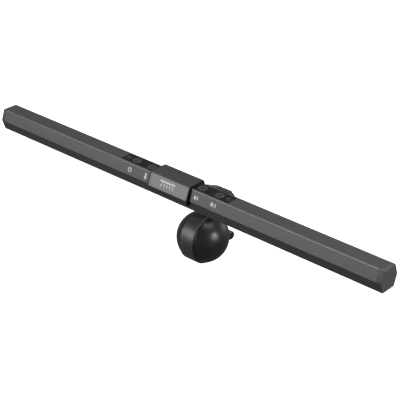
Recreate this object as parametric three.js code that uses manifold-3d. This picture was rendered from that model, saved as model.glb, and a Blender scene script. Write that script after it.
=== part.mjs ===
// A monitor light bar. A six-sided aluminium bar with its light outlet underneath hangs in
// front of a monitor on a clip, and a ball-shaped counterweight folds behind the screen.
//
// Millimetres, +Z up. The origin is where the clip's rubber seat rests on the monitor's top
// edge, +X runs along the bar and +Y points behind the screen.
import * as THREE from 'three';
import { mergeVertices } from 'three/addons/utils/BufferGeometryUtils.js';
import Module from 'manifold-3d';

// Bar: a hexagon with flat top and bottom facets, and its axis seen from the seat.
const barLength = 450;
const barHeight = 20.8;
const barDepth = 22.7;
const topWidth = 15.5;
const wall = 1.8;
const edgeCut = 0.6;
const barY = -42;
const barZ = 28.5;
const gap = 0.3;
const running = 0.08;

// End caps: a plate with a chamfered outer edge, and tongues that plug into the bar.
const endCapLength = 5;
const chamferLength = 1.2;
const chamferScale = 0.94;
const tongue = { length: 4, upperHalf: 5.5, lowerHalf: 5, bottom: -6.6 };

// Light outlet in the bottom facet.
const outletHalf = 5.2;
const diffuserFlange = { halfWidth: 6.1, thickness: 1.1 };

// Rails inside the bar that hold the LED board's edges.
const railTip = 7;
const lowerRail = [-0.2, 0.8];
const upperRail = [2.6, 3.6];
const ledBoard = { halfWidth: 8.1, bottom: 1.2, thickness: 1, halfLength: 216 };
const led = { length: 3.5, width: 2.8, height: 0.7, pitch: 18, count: 24 };
const reflector = { belowBoard: 0.25, sheet: 0.6, holeMargin: 0.5 };

// Sleeve round the middle of the bar, its face plate and the key panels beside it.
const sleeve = { halfLength: 24.4, thickness: 2, frontTip: 14, frontLip: -4, rearLip: -8.6 };
const sleeveBevel = { length: 2, scale: 0.88 };
const facePlate = { halfLength: 22.4, thickness: 0.6, topMargin: 0.8 };
const panel = { start: 24.8, end: 64, halfWidth: 6.1, thickness: 1.2, corner: 1.5, ledge: 0.8 };
const keyRadius = 4.3;
const keyTravel = 0.5;
const keyPlaces = [30.2, 49.5];
const windowRadius = 2.2;
const windowPlace = 59.7;
const controlBoard = { halfLength: 64, halfWidth: 5, bottom: 5, thickness: 1 };
const switchBody = { side: 4.2, height: 1.2 };
const socket = { place: 39.85, width: 9, height: 3.2, depth: 5, alongFacet: 2 };

// Tilt hinge between the saddle on the bar and the clip's neck, seen from the bar's axis.
const tiltY = 19.5;
const tiltZ = -8;
const tiltRadius = 4.5;
const tiltPinRadius = 2;
const tiltKnuckleHalf = 7;
const washerThickness = 0.7;
const earWidth = 4;
const saddle = { halfLength: 21, thickness: 2.5, top: 4, bottom: -9.4 };
const saddleScrew = { place: 17, radius: 1.2, headRadius: 2.3, headHeight: 1.4, tip: -2.3 };

// Clip: the seat on the monitor, the lip in front of it and the hinge behind it.
const seatPad = { halfLength: 14, halfDepth: 9.2, thickness: 1.1 };
const plateThickness = 2;
const plateHalf = 17.5;
const plateRear = 23;
const lip = { halfLength: 15, front: -13, thickness: 2.5, bottom: -7.7 };
const lipPadThickness = 1;
const hingeY = 16.5;
const hingeZ = -4.7;
const hingeRadius = 4.4;
const hingePinRadius = 1.6;
const hingeEar = [7.6, 13];
const armHalf = 7.2;
const armThickness = 5;
const springSpace = 3.4;

// Counterweight ball and the barrel that it folds on.
const ballY = -6.8;
const ballZ = -36;
const ballRadius = 24.75;
const beltRadius = 24.25;
const beltHalf = 7.7;
const beltThickness = 3.4;
const capStart = 8;
const shellThickness = 2.2;
const barrelY = 15.9;
const barrelZ = -39;
const barrelRadius = 4.3;
const barrelHalf = 15.8;
const weight = { radius: 14.6, halfLength: 16, chamfer: 6 };

const X = new THREE.Vector3(1, 0, 0);
const Y = new THREE.Vector3(0, 1, 0);
const Z = new THREE.Vector3(0, 0, 1);

const gunmetal = { color: 0x626063, roughness: 0.42, metalness: 0.85 };
const darkPlastic = { color: 0x242427, roughness: 0.45, metalness: 0 };
const glossBlack = { color: 0x101012, roughness: 0.18, metalness: 0 };
const steel = { color: 0xa8abb0, roughness: 0.3, metalness: 1 };
const rubber = { color: 0x1b1b1c, roughness: 0.85, metalness: 0 };

const wasm = await Module();
wasm.setup();

// Booleans -----------------------------------------------------------------------------

function toSolid(geometry) {
  const bare = geometry.clone();
  bare.deleteAttribute('normal');
  bare.deleteAttribute('uv');
  const merged = mergeVertices(bare, 1e-4);
  const vertProperties = new Float32Array(merged.attributes.position.array);
  const triVerts = new Uint32Array(merged.index.array);
  return new wasm.Manifold(new wasm.Mesh({ numProp: 3, vertProperties, triVerts }));
}

function toGeometry(solid) {
  const { vertProperties, triVerts } = solid.getMesh();
  const geometry = new THREE.BufferGeometry();
  geometry.setAttribute('position', new THREE.BufferAttribute(vertProperties, 3));
  geometry.setIndex(new THREE.BufferAttribute(triVerts, 1));
  return geometry;
}

// Joins the geometries in `joined` and takes away those in `cut`.
function combine(joined, cut = []) {
  let solid = toSolid(joined[0]);
  for (const geometry of joined.slice(1)) solid = solid.add(toSolid(geometry));
  for (const geometry of cut) solid = solid.subtract(toSolid(geometry));
  return toGeometry(solid);
}

// Shapes -------------------------------------------------------------------------------

// A closed outline through corners [a, b, cut]: a corner with a cut is rounded over that
// length of both of its sides.
function outline(corners, Kind = THREE.Shape) {
  const path = new Kind();
  corners.forEach(([a, b, cut = 0], index) => {
    const corner = new THREE.Vector2(a, b);
    const before = new THREE.Vector2(...corners.at(index - 1));
    const after = new THREE.Vector2(...corners[(index + 1) % corners.length]);
    const start = before.sub(corner).setLength(cut).add(corner);
    const end = after.sub(corner).setLength(cut).add(corner);
    if (index === 0) path.moveTo(start.x, start.y);
    else path.lineTo(start.x, start.y);
    if (cut > 0) path.quadraticCurveTo(corner.x, corner.y, end.x, end.y);
  });
  path.closePath();
  return path;
}

function circle(a, b, radius, Kind = THREE.Path) {
  const path = new Kind();
  path.absarc(a, b, radius, 0, 2 * Math.PI);
  return path;
}

// A (y, z) outline drawn out along X.
function alongX(shape, from, to, curveSegments = 3) {
  const depth = to - from;
  const geometry = new THREE.ExtrudeGeometry(shape, { depth, bevelEnabled: false, curveSegments });
  geometry.applyMatrix4(new THREE.Matrix4().makeBasis(Y, Z, X));
  return geometry.translate(from, 0, 0);
}

// The same, with the section at each end scaled about the X axis.
function taperedX(shape, from, to, scaleFrom, scaleTo) {
  const geometry = alongX(shape, from, to);
  const position = geometry.attributes.position;
  for (let index = 0; index < position.count; index += 1) {
    const scale = position.getX(index) < (from + to) / 2 ? scaleFrom : scaleTo;
    position.setY(index, position.getY(index) * scale);
    position.setZ(index, position.getZ(index) * scale);
  }
  return geometry;
}

// An (x, y) outline drawn up along Z.
function alongZ(shape, from, to, curveSegments = 3) {
  const depth = to - from;
  const geometry = new THREE.ExtrudeGeometry(shape, { depth, bevelEnabled: false, curveSegments });
  return geometry.translate(0, 0, from);
}

function box(x, y, z) {
  const geometry = new THREE.BoxGeometry(x[1] - x[0], y[1] - y[0], z[1] - z[0]);
  return geometry.translate((x[0] + x[1]) / 2, (y[0] + y[1]) / 2, (z[0] + z[1]) / 2);
}

function rodX(y, z, radius, from, to, segments = 32) {
  const geometry = new THREE.CylinderGeometry(radius, radius, to - from, segments);
  return geometry.rotateZ(-Math.PI / 2).translate((from + to) / 2, y, z);
}

// A turned piece about the X axis, from points [radius, x].
function turnedX(points, segments) {
  const profile = points.map(([radius, x]) => new THREE.Vector2(radius, x));
  return new THREE.LatheGeometry(profile, segments).rotateZ(-Math.PI / 2);
}

// A turned piece about the Z axis, from points [radius, z] given from the bottom up.
function turnedZ(points, segments) {
  const profile = points.map(([radius, z]) => new THREE.Vector2(radius, z));
  return new THREE.LatheGeometry(profile, segments).rotateX(Math.PI / 2);
}

// Bar section --------------------------------------------------------------------------

const halfHeight = barHeight / 2;
const halfDepth = barDepth / 2;
const facetTilt = new THREE.Vector2(halfHeight, halfDepth - topWidth / 2).normalize();
const facetAngle = Math.atan2(facetTilt.y, facetTilt.x);

// Distance from the bar's axis to a side facet moved out by `offset`, at height z.
function side(z, offset = 0) {
  return (facetTilt.x * halfDepth + offset - facetTilt.y * Math.abs(z)) / facetTilt.x;
}

// The hexagon's half height and the half width of its flat facets, moved out by `offset`.
function hexagon(offset) {
  const top = halfHeight + offset;
  return { top, flat: side(top, offset), tip: side(0, offset) };
}

function hexagonOutline(offset, cut) {
  const { top, flat, tip } = hexagon(offset);
  const right = [[flat, -top, cut], [tip, 0, cut], [flat, top, cut]];
  const left = right.map(([y, z]) => [-y, -z, cut]);
  return outline([...right, ...left]);
}

// The right half of the bar's wall from the outlet's edge outside, over the top and back
// down the inside past the two rails.
function housingOutline() {
  const outer = hexagon(0);
  const inner = hexagon(-wall);
  const rail = ([low, high]) => [
    [side(high, -wall), high],
    [railTip, high],
    [railTip, low],
    [side(low, -wall), low],
  ];
  const outerRight = [
    [outletHalf, -outer.top],
    [outer.flat, -outer.top, edgeCut],
    [outer.tip, 0, edgeCut],
    [outer.flat, outer.top, edgeCut],
  ];
  const innerRight = [
    [inner.flat, inner.top],
    ...rail(upperRail),
    ...rail(lowerRail),
    [inner.flat, -inner.top],
    [outletHalf, -inner.top],
  ];
  const mirrored = (corners) => corners.map(([y, z, cut]) => [-y, z, cut]).reverse();
  return outline([...outerRight, ...mirrored(outerRight), ...mirrored(innerRight), ...innerRight]);
}

// Bar parts, about the bar's axis -------------------------------------------------------

const housingHalf = barLength / 2 - endCapLength;

function panelOutline(start, end, halfWidth, corner) {
  return outline([
    [start, -halfWidth, corner],
    [end, -halfWidth, corner],
    [end, halfWidth, corner],
    [start, halfWidth, corner],
  ]);
}

// Recess for a key panel with a smaller window through the wall, on the side given.
function panelCuts(direction) {
  const { start, end, halfWidth, thickness, corner, ledge } = panel;
  const floor = halfHeight - thickness - 0.1;
  const recess = panelOutline(start - 0.1, end + 0.1, halfWidth + 0.1, corner);
  const through = panelOutline(start + ledge, end - ledge, halfWidth - ledge / 2, corner);
  const cuts = [alongZ(recess, floor, halfHeight + 1), alongZ(through, halfHeight - wall - 1, floor + 1)];
  if (direction < 0) cuts.forEach((cut) => cut.rotateZ(Math.PI));
  return cuts;
}

// Places a geometry made about Z so that Z runs out of a rear facet at its middle.
function onRearFacet(geometry, x, upper, alongFacet = 0) {
  const angle = upper ? Math.PI / 2 - facetAngle : Math.PI / 2 + facetAngle;
  const { flat, tip, top } = hexagon(0);
  const slope = new THREE.Vector2(flat - tip, top).normalize();
  const y = (flat + tip) / 2 + slope.x * alongFacet;
  const z = top / 2 + slope.y * alongFacet;
  return geometry.rotateX(-angle).translate(x, y, upper ? z : -z);
}

function socketOutline(clearance) {
  const width = socket.width / 2 + clearance;
  const height = socket.height / 2 + clearance;
  const corner = height * 0.95;
  return outline([
    [-width, -height, corner],
    [width, -height, corner],
    [width, height, corner],
    [-width, height, corner],
  ]);
}

function saddleScrewHole(x, from, to) {
  const hole = new THREE.CylinderGeometry(
    saddleScrew.radius + gap, saddleScrew.radius + gap, to - from, 20);
  return onRearFacet(hole.rotateX(Math.PI / 2).translate(0, 0, (from + to) / 2), x, false);
}

function makeHousing() {
  const socketHole = onRearFacet(
    alongZ(socketOutline(gap), -socket.depth - 1, 2), socket.place, true, socket.alongFacet);
  return combine([alongX(housingOutline(), -housingHalf, housingHalf)], [
    ...panelCuts(1),
    ...panelCuts(-1),
    socketHole,
    saddleScrewHole(saddleScrew.place, -4, 2),
    saddleScrewHole(-saddleScrew.place, -4, 2),
  ]);
}

function makeEndCap(direction) {
  const from = barLength / 2 - endCapLength;
  const shape = hexagonOutline(0, edgeCut);
  const plate = alongX(shape, from, barLength / 2 - chamferLength);
  const chamfer = taperedX(shape, barLength / 2 - chamferLength, barLength / 2, 1, chamferScale);
  const { length, upperHalf, lowerHalf, bottom } = tongue;
  const reach = [from - length, from + 1];
  const upper = box(reach, [-upperHalf, upperHalf], [upperRail[1] + gap, halfHeight - wall - gap]);
  const lower = box(reach, [-lowerHalf, lowerHalf], [bottom, lowerRail[0] - gap]);
  const cap = combine([plate, chamfer, upper, lower]);
  return direction > 0 ? cap : cap.rotateZ(Math.PI);
}

// A hat section: the lit face in the outlet with flanges behind the outlet's edges.
function makeDiffuser() {
  const face = outletHalf - gap;
  const flangeBottom = -halfHeight + wall + gap;
  const flangeTop = flangeBottom + diffuserFlange.thickness;
  const flange = diffuserFlange.halfWidth;
  const shape = outline([
    [-face, -halfHeight],
    [face, -halfHeight],
    [face, flangeBottom],
    [flange, flangeBottom],
    [flange, flangeTop],
    [-flange, flangeTop],
    [-flange, flangeBottom],
    [-face, flangeBottom],
  ]);
  return alongX(shape, -housingHalf + gap, housingHalf - gap);
}

function ledPlaces() {
  const first = (-led.pitch * (led.count - 1)) / 2;
  return Array.from({ length: led.count }, (_, index) => first + index * led.pitch);
}

// A white trough under the LED board, with a hole for each LED.
function makeReflector() {
  const { belowBoard, sheet, holeMargin } = reflector;
  const roof = ledBoard.bottom - belowBoard;
  const foot = -halfHeight + wall + diffuserFlange.thickness + 2 * gap;
  const right = [
    [6.3, foot],
    [6.6, roof - 0.7],
    [5.9, roof],
  ];
  const inside = [
    [5.4, roof - sheet],
    [6, roof - 1.1],
    [5.7, foot],
  ];
  const mirrored = (corners) => corners.map(([y, z]) => [-y, z]).reverse();
  const shape = outline([...right, ...mirrored(right), ...mirrored(inside), ...inside]);
  const halfLength = led.length / 2 + holeMargin;
  const halfWidth = led.width / 2 + holeMargin;
  const holes = ledPlaces().map((x) => box(
    [x - halfLength, x + halfLength], [-halfWidth, halfWidth], [roof - 2, roof + 1]));
  return combine([alongX(shape, -ledBoard.halfLength, ledBoard.halfLength)], holes);
}

function makeLedBoard() {
  const { halfWidth, bottom, thickness, halfLength } = ledBoard;
  const board = box([-halfLength, halfLength], [-halfWidth, halfWidth], [bottom, bottom + thickness]);
  const leds = ledPlaces().map((x) => box(
    [x - led.length / 2, x + led.length / 2],
    [-led.width / 2, led.width / 2],
    [bottom - led.height, bottom + 0.1]));
  return combine([board, ...leds]);
}

// Circuit board under the keys, with a switch below each key and room for the socket.
function makeControlBoard() {
  const { halfLength, halfWidth, bottom, thickness } = controlBoard;
  const top = bottom + thickness;
  const board = box([-halfLength, halfLength], [-halfWidth, halfWidth], [bottom, top]);
  const reach = switchBody.side / 2;
  const switches = keyPlaces.flatMap((place) => [place, -place]).map((x) => box(
    [x - reach, x + reach], [-reach, reach], [top - 0.1, top + switchBody.height]));
  const notchHalf = socket.width / 2 + 0.4;
  const notch = box(
    [socket.place - notchHalf, socket.place + notchHalf], [2.3, halfWidth + 1], [bottom - 1, top + 1]);
  return combine([board, ...switches], [notch]);
}

// Metal shell of the power inlet with its contact tongue, let into the upper rear facet.
function makeSocket() {
  const shell = alongZ(socketOutline(0), -socket.depth, -0.3);
  const mouth = alongZ(socketOutline(-0.35), -socket.depth + 1, 1);
  const tongue = box([-3.2, 3.2], [-0.35, 0.35], [-socket.depth + 0.5, -1.2]);
  const hollow = combine([shell], [mouth]);
  return onRearFacet(combine([hollow, tongue]), socket.place, true, socket.alongFacet);
}

// A shell over the top and sides of the bar, recessed in front for its face plate.
function makeSleeve() {
  const { flat, top, tip } = hexagon(sleeve.thickness);
  const { thickness, halfLength, frontTip, frontLip, rearLip } = sleeve;
  const middle = halfLength - sleeveBevel.length;
  const shape = outline([
    [-frontTip + 0.5, frontLip, 0.4],
    [side(rearLip, thickness) - 4, rearLip],
    [side(rearLip, thickness), rearLip, 0.4],
    [tip, 0, edgeCut],
    [flat, top, edgeCut],
    [-flat, top, edgeCut],
    [-frontTip, 0, edgeCut],
  ]);
  const recess = facePlateSection(facePlate.thickness + 0.1, 0.1, 1);
  return combine([
    alongX(shape, -middle, middle),
    taperedX(shape, middle, halfLength, 1, sleeveBevel.scale),
    taperedX(shape, -halfLength, -middle, sleeveBevel.scale, 1),
  ], [
    alongX(hexagonOutline(gap, 0), -halfLength - 1, halfLength + 1),
    box([-halfLength - 1, halfLength + 1], [-halfDepth, side(rearLip, gap)], [rearLip - 2, frontLip]),
    alongX(recess, -facePlate.halfLength - 0.1, facePlate.halfLength + 0.1),
    saddleScrewHole(saddleScrew.place, -1, 4),
    saddleScrewHole(-saddleScrew.place, -1, 4),
  ]);
}

// The face plate's section on the sleeve's upper front facet: `depth` below the surface,
// `margin` larger all round and standing `proud` of the surface.
function facePlateSection(depth, margin, proud) {
  const { flat, top } = hexagon(sleeve.thickness);
  const foot = new THREE.Vector2(-sleeve.frontTip, 0);
  const rise = new THREE.Vector2(-flat, top).sub(foot);
  const height = rise.length() - facePlate.topMargin + margin;
  rise.normalize();
  const inward = new THREE.Vector2(rise.y, -rise.x);
  const at = (along, into) => [
    foot.x + rise.x * along + inward.x * into,
    foot.y + rise.y * along + inward.y * into,
  ];
  const low = 0.35 - margin;
  return outline([at(low, depth), at(height, depth), at(height, -proud), at(low, -proud)]);
}

function makeFacePlate() {
  const { thickness, halfLength } = facePlate;
  return alongX(facePlateSection(thickness, 0, 0.05), -halfLength, halfLength);
}

// Key panel on the +X side: a plate with two key holes and a window hole.
function makePanel(direction) {
  const shape = panelOutline(panel.start, panel.end, panel.halfWidth, panel.corner);
  for (const place of keyPlaces) shape.holes.push(circle(place, 0, keyRadius + 0.25));
  shape.holes.push(circle(windowPlace, 0, windowRadius + 0.15));
  const plate = alongZ(shape, halfHeight - panel.thickness, halfHeight, 14);
  return direction > 0 ? plate : plate.rotateZ(Math.PI);
}

// A round key with a dished top, and a stem that reaches the switch below.
function makeKey() {
  const switchTop = controlBoard.bottom + controlBoard.thickness + switchBody.height;
  const stemFoot = switchTop + keyTravel + 0.05;
  const skirt = halfHeight - 1.1;
  const rim = halfHeight + 0.25;
  return turnedZ([
    [0, stemFoot],
    [1.5, stemFoot],
    [1.5, skirt],
    [keyRadius, skirt],
    [keyRadius, rim - 0.2],
    [keyRadius - 0.25, rim],
    [keyRadius - 0.9, rim],
    [keyRadius - 1.7, rim - 0.35],
    [keyRadius - 3, rim - 0.55],
    [0, rim - 0.6],
  ], 28);
}

function makeWindow() {
  return turnedZ([
    [0, halfHeight - panel.thickness],
    [windowRadius, halfHeight - panel.thickness],
    [windowRadius, halfHeight],
    [windowRadius - 0.5, halfHeight],
    [windowRadius - 1, halfHeight - 0.25],
    [0, halfHeight - 0.3],
  ], 20);
}

// Bracket screwed to the bar's rear with two ears for the tilt hinge.
function makeSaddle() {
  const { halfLength, thickness, top, bottom } = saddle;
  const inside = sleeve.thickness + gap;
  const outside = inside + thickness;
  const base = outline([
    [side(top, inside), top],
    [side(0, inside), 0],
    [side(bottom, inside), bottom],
    [side(bottom, outside), bottom, 0.8],
    [side(0, outside), 0, 0.8],
    [side(top, outside), top, 0.8],
  ]);
  const ear = outline([
    [side(-1, outside) - 1, -1],
    [side(bottom, outside) - 1, bottom],
    [tiltY - 1, tiltZ - tiltRadius * 0.97],
    [tiltY + 1, tiltZ + tiltRadius * 0.97],
  ]);
  const earStart = tiltKnuckleHalf + washerThickness + 0.4;
  const ears = [earStart, -earStart - earWidth].flatMap((from) => [
    alongX(ear, from, from + earWidth),
    rodX(tiltY, tiltZ, tiltRadius, from, from + earWidth),
  ]);
  return combine([alongX(base, -halfLength, halfLength), ...ears], [
    rodX(tiltY, tiltZ, tiltPinRadius + running, -halfLength, halfLength),
    saddleScrewHole(saddleScrew.place, 1, 6),
    saddleScrewHole(-saddleScrew.place, 1, 6),
  ]);
}

function makeSaddleScrew(x) {
  const seat = sleeve.thickness + gap + saddle.thickness + 0.05;
  const { radius, headRadius, headHeight, tip } = saddleScrew;
  const body = turnedZ([
    [0, tip],
    [radius * 0.7, tip],
    [radius, tip + 0.5],
    [radius, seat],
    [headRadius, seat],
    [headRadius, seat + headHeight * 0.5],
    [headRadius * 0.7, seat + headHeight],
    [0, seat + headHeight],
  ], 24);
  const slot = box([-1.1, 1.1], [-0.3, 0.3], [seat + headHeight - 0.7, seat + headHeight + 1]);
  const crossSlot = slot.clone().rotateZ(Math.PI / 2);
  return onRearFacet(combine([body], [slot, crossSlot]), x, false);
}

const tiltStack = tiltKnuckleHalf + washerThickness + 0.4 + earWidth;

function makeTiltBolt() {
  const bolt = turnedX([
    [0, -tiltStack - 2.1],
    [2.4, -tiltStack - 2.1],
    [3.5, -tiltStack - 1.2],
    [3.5, -tiltStack - 0.1],
    [tiltPinRadius, -tiltStack - 0.1],
    [tiltPinRadius, tiltStack + 2.4],
    [0, tiltStack + 2.4],
  ], 28);
  const drive = rodX(0, 0, 1.25, -tiltStack - 3, -tiltStack - 1, 6);
  return combine([bolt], [drive]).translate(0, tiltY, tiltZ);
}

function makeTiltNut() {
  const from = tiltStack + 0.15;
  const nut = rodX(tiltY, tiltZ, 3.9, from, from + 1.9, 6);
  return combine([nut], [rodX(tiltY, tiltZ, tiltPinRadius + 0.1, from - 1, from + 3, 28)]);
}

function makeWasher(direction) {
  const from = tiltKnuckleHalf + 0.2;
  const ring = turnedX([
    [tiltPinRadius + 0.2, from],
    [tiltRadius - 0.2, from],
    [tiltRadius - 0.2, from + washerThickness],
    [tiltPinRadius + 0.2, from + washerThickness],
    [tiltPinRadius + 0.2, from],
  ], 28);
  if (direction < 0) ring.rotateZ(Math.PI);
  return ring.translate(0, tiltY, tiltZ);
}

// Clip parts, about the seat -----------------------------------------------------------

const plateBottom = seatPad.thickness;
const plateTop = plateBottom + plateThickness;

// The top plate with softened edges: square in front and narrowing at the rear.
function makePlate() {
  const shoulder = 17.5;
  const rearHalf = 8;
  const soft = 0.5;
  const shape = outline([
    [-lip.halfLength, lip.front, 2],
    [lip.halfLength, lip.front, 2],
    [plateHalf, lip.front + 5, 2],
    [plateHalf, shoulder, 2],
    [rearHalf, plateRear, 2],
    [-rearHalf, plateRear, 2],
    [-plateHalf, shoulder, 2],
    [-plateHalf, lip.front + 5, 2],
  ]);
  const plate = new THREE.ExtrudeGeometry(shape, {
    depth: plateThickness - 2 * soft,
    bevelThickness: soft,
    bevelSize: soft,
    bevelOffset: -soft,
    bevelSegments: 2,
    curveSegments: 3,
  });
  return plate.translate(0, 0, plateBottom + soft);
}

// Neck, plate, lip and hinge ears in one moulding.
function makeClipBody() {
  const tiltAt = [barY + tiltY, barZ + tiltZ];
  const neck = outline([
    [tiltAt[0] - 3.7, tiltAt[1] - 1.7],
    [lip.front, plateBottom + 0.2],
    [-4, plateBottom + 0.2],
    [-4, plateTop],
    [-7.5, plateTop + 1.6, 2],
    [tiltAt[0] + 4, tiltAt[1] + 1.6],
  ]);
  const hook = outline([
    [lip.front + lip.thickness, plateTop - 0.5],
    [lip.front, plateTop - 0.5],
    [lip.front, lip.bottom, 0.9],
    [lip.front + lip.thickness, lip.bottom, 0.9],
  ]);
  const ear = outline([
    [hingeY - hingeRadius, plateTop - 1],
    [hingeY - hingeRadius, hingeZ],
    [hingeY + hingeRadius, hingeZ],
    [hingeY + hingeRadius - 1, plateTop - 1],
  ]);
  const [near, far] = hingeEar;
  const ears = [[near, far], [-far, -near]].flatMap(([from, to]) => [
    alongX(ear, from, to),
    rodX(hingeY, hingeZ, hingeRadius, from, to, 28),
  ]);
  const half = tiltKnuckleHalf;
  return combine([
    makePlate(),
    alongX(neck, -half, half, 5),
    rodX(...tiltAt, tiltRadius, -half, half),
    alongX(hook, -lip.halfLength, lip.halfLength),
    ...ears,
  ], [
    rodX(...tiltAt, tiltPinRadius + running, -half - 1, half + 1),
    rodX(hingeY, hingeZ, hingePinRadius + running, -far - 1, far + 1, 20),
  ]);
}

function makeSeatPad() {
  const shape = panelOutline(-seatPad.halfLength, seatPad.halfLength, seatPad.halfDepth, 1.5);
  return alongZ(shape, 0, seatPad.thickness);
}

function makeLipPad() {
  const back = lip.front + lip.thickness;
  const half = lip.halfLength - 1.5;
  return box([-half, half], [back, back + lipPadThickness], [lip.bottom + 1.2, -0.2]);
}

function makeHingePin() {
  const end = hingeEar[1] + 0.5;
  const chamfer = hingePinRadius - 0.4;
  return turnedX([
    [0, -end],
    [chamfer, -end],
    [hingePinRadius, -end + 0.4],
    [hingePinRadius, end - 0.4],
    [chamfer, end],
    [0, end],
  ], 20).translate(0, hingeY, hingeZ);
}

// A closed-wound torsion spring on the hinge pin. One leg lies under the clip's plate and
// the other runs down in front of the arm.
class SpringLine extends THREE.Curve {
  constructor(turns, radius, pitch, leg) {
    super();
    Object.assign(this, { turns, radius, pitch, leg });
    this.coil = 2 * Math.PI * radius * turns;
    this.whole = this.coil + 2 * leg;
  }

  getPoint(t, target = new THREE.Vector3()) {
    const run = t * this.whole - this.leg;
    const along = THREE.MathUtils.clamp(run, 0, this.coil);
    const angle = along / this.radius;
    const x = (angle / (2 * Math.PI) - this.turns / 2) * this.pitch;
    const spare = run - along;
    const y = Math.cos(angle) * this.radius - Math.sin(angle) * spare;
    const z = Math.sin(angle) * this.radius + Math.cos(angle) * spare;
    return target.set(x, y, z);
  }
}

function makeSpring() {
  const wire = circle(0, 0, 0.4, THREE.Shape);
  const line = new SpringLine(5, 2.9, 0.95, 4.4);
  const steps = 84;
  const geometry = new THREE.ExtrudeGeometry(wire, { extrudePath: line, steps, curveSegments: 3 });
  return geometry.rotateX(-0.5 * Math.PI).translate(0, hingeY, hingeZ);
}

// The swing arm: a flat bar between the hinge knuckle and the barrel for the ball.
function makeArm() {
  const bar = outline([
    [hingeY - armThickness / 2, hingeZ],
    [barrelY - armThickness / 2, barrelZ],
    [barrelY + armThickness / 2, barrelZ],
    [hingeY + armThickness / 2, hingeZ],
  ]);
  const barrel = turnedX([
    [0, -barrelHalf],
    [barrelRadius - 1.6, -barrelHalf],
    [barrelRadius - 0.5, -barrelHalf + 0.35],
    [barrelRadius, -barrelHalf + 1.2],
    [barrelRadius, barrelHalf - 1.2],
    [barrelRadius - 0.5, barrelHalf - 0.35],
    [barrelRadius - 1.6, barrelHalf],
    [0, barrelHalf],
  ], 32).translate(0, barrelY, barrelZ);
  const knuckle = rodX(hingeY, hingeZ, hingeRadius - 0.2, -armHalf, armHalf, 28);
  const springRoom = box(
    [-springSpace, springSpace], [hingeY - 6, hingeY + 6], [hingeZ - 6, hingeZ + 6]);
  return combine([alongX(bar, -armHalf, armHalf), knuckle, barrel], [
    rodX(hingeY, hingeZ, hingePinRadius + running, -armHalf - 1, armHalf + 1, 20),
    springRoom,
  ]);
}

// Counterweight, about the ball's centre -----------------------------------------------

const barrelFromBall = [barrelY - ballY, barrelZ - ballZ];

function barrelGroove() {
  const half = barrelHalf + gap;
  return rodX(...barrelFromBall, barrelRadius + running, -half, half, 32);
}

// Points of a round section, from the polar angle `from` to `to` about the X axis.
function ballArc(radius, from, to, count) {
  return Array.from({ length: count + 1 }, (_, index) => {
    const angle = from + ((to - from) * index) / count;
    return [radius * Math.sin(angle), radius * Math.cos(angle)];
  });
}

function makeBelt() {
  const inside = beltRadius - beltThickness;
  const ring = turnedX([
    [inside, -beltHalf],
    [beltRadius - 0.4, -beltHalf],
    [beltRadius, -beltHalf + 0.4],
    [beltRadius, beltHalf - 0.4],
    [beltRadius - 0.4, beltHalf],
    [inside, beltHalf],
    [inside, -beltHalf],
  ], 64);
  const boss = box([-beltHalf, beltHalf], [weight.radius + 0.6, inside + 1.5], [-7.5, 7]);
  const armRoom = box(
    [-beltHalf - 1, beltHalf + 1],
    [barrelFromBall[0] - armThickness / 2 - 0.5, ballRadius + 2],
    [barrelFromBall[1] - 0.5, ballRadius]);
  return combine([ring, boss], [barrelGroove(), armRoom]);
}

// A hollow side of the ball, open towards the belt.
function makeBallCap(direction) {
  const inside = ballRadius - shellThickness;
  const outerArc = ballArc(ballRadius, 0, Math.acos(capStart / ballRadius), 10);
  const innerArc = ballArc(inside, Math.acos(capStart / inside), 0, 5);
  outerArc[0][0] = 0;
  innerArc.at(-1)[0] = 0;
  const shell = turnedX([...innerArc.reverse(), ...outerArc.reverse()], 48);
  const cap = combine([shell], [barrelGroove()]);
  if (direction > 0) return cap;
  const mirrored = cap.clone().scale(-1, 1, 1);
  const index = mirrored.index.array;
  for (let face = 0; face < index.length; face += 3) {
    const second = index[face + 1];
    index[face + 1] = index[face + 2];
    index[face + 2] = second;
  }
  return mirrored;
}

function makeWeight() {
  const { radius, halfLength, chamfer } = weight;
  return turnedX([
    [0, -halfLength],
    [radius - chamfer, -halfLength],
    [radius, -halfLength + chamfer],
    [radius, halfLength - chamfer],
    [radius - chamfer, halfLength],
    [0, halfLength],
  ], 32);
}

// Assembly -----------------------------------------------------------------------------

function part(name, geometry, look) {
  const mesh = new THREE.Mesh(geometry, new THREE.MeshStandardMaterial(look));
  mesh.name = name;
  return mesh;
}

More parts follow.
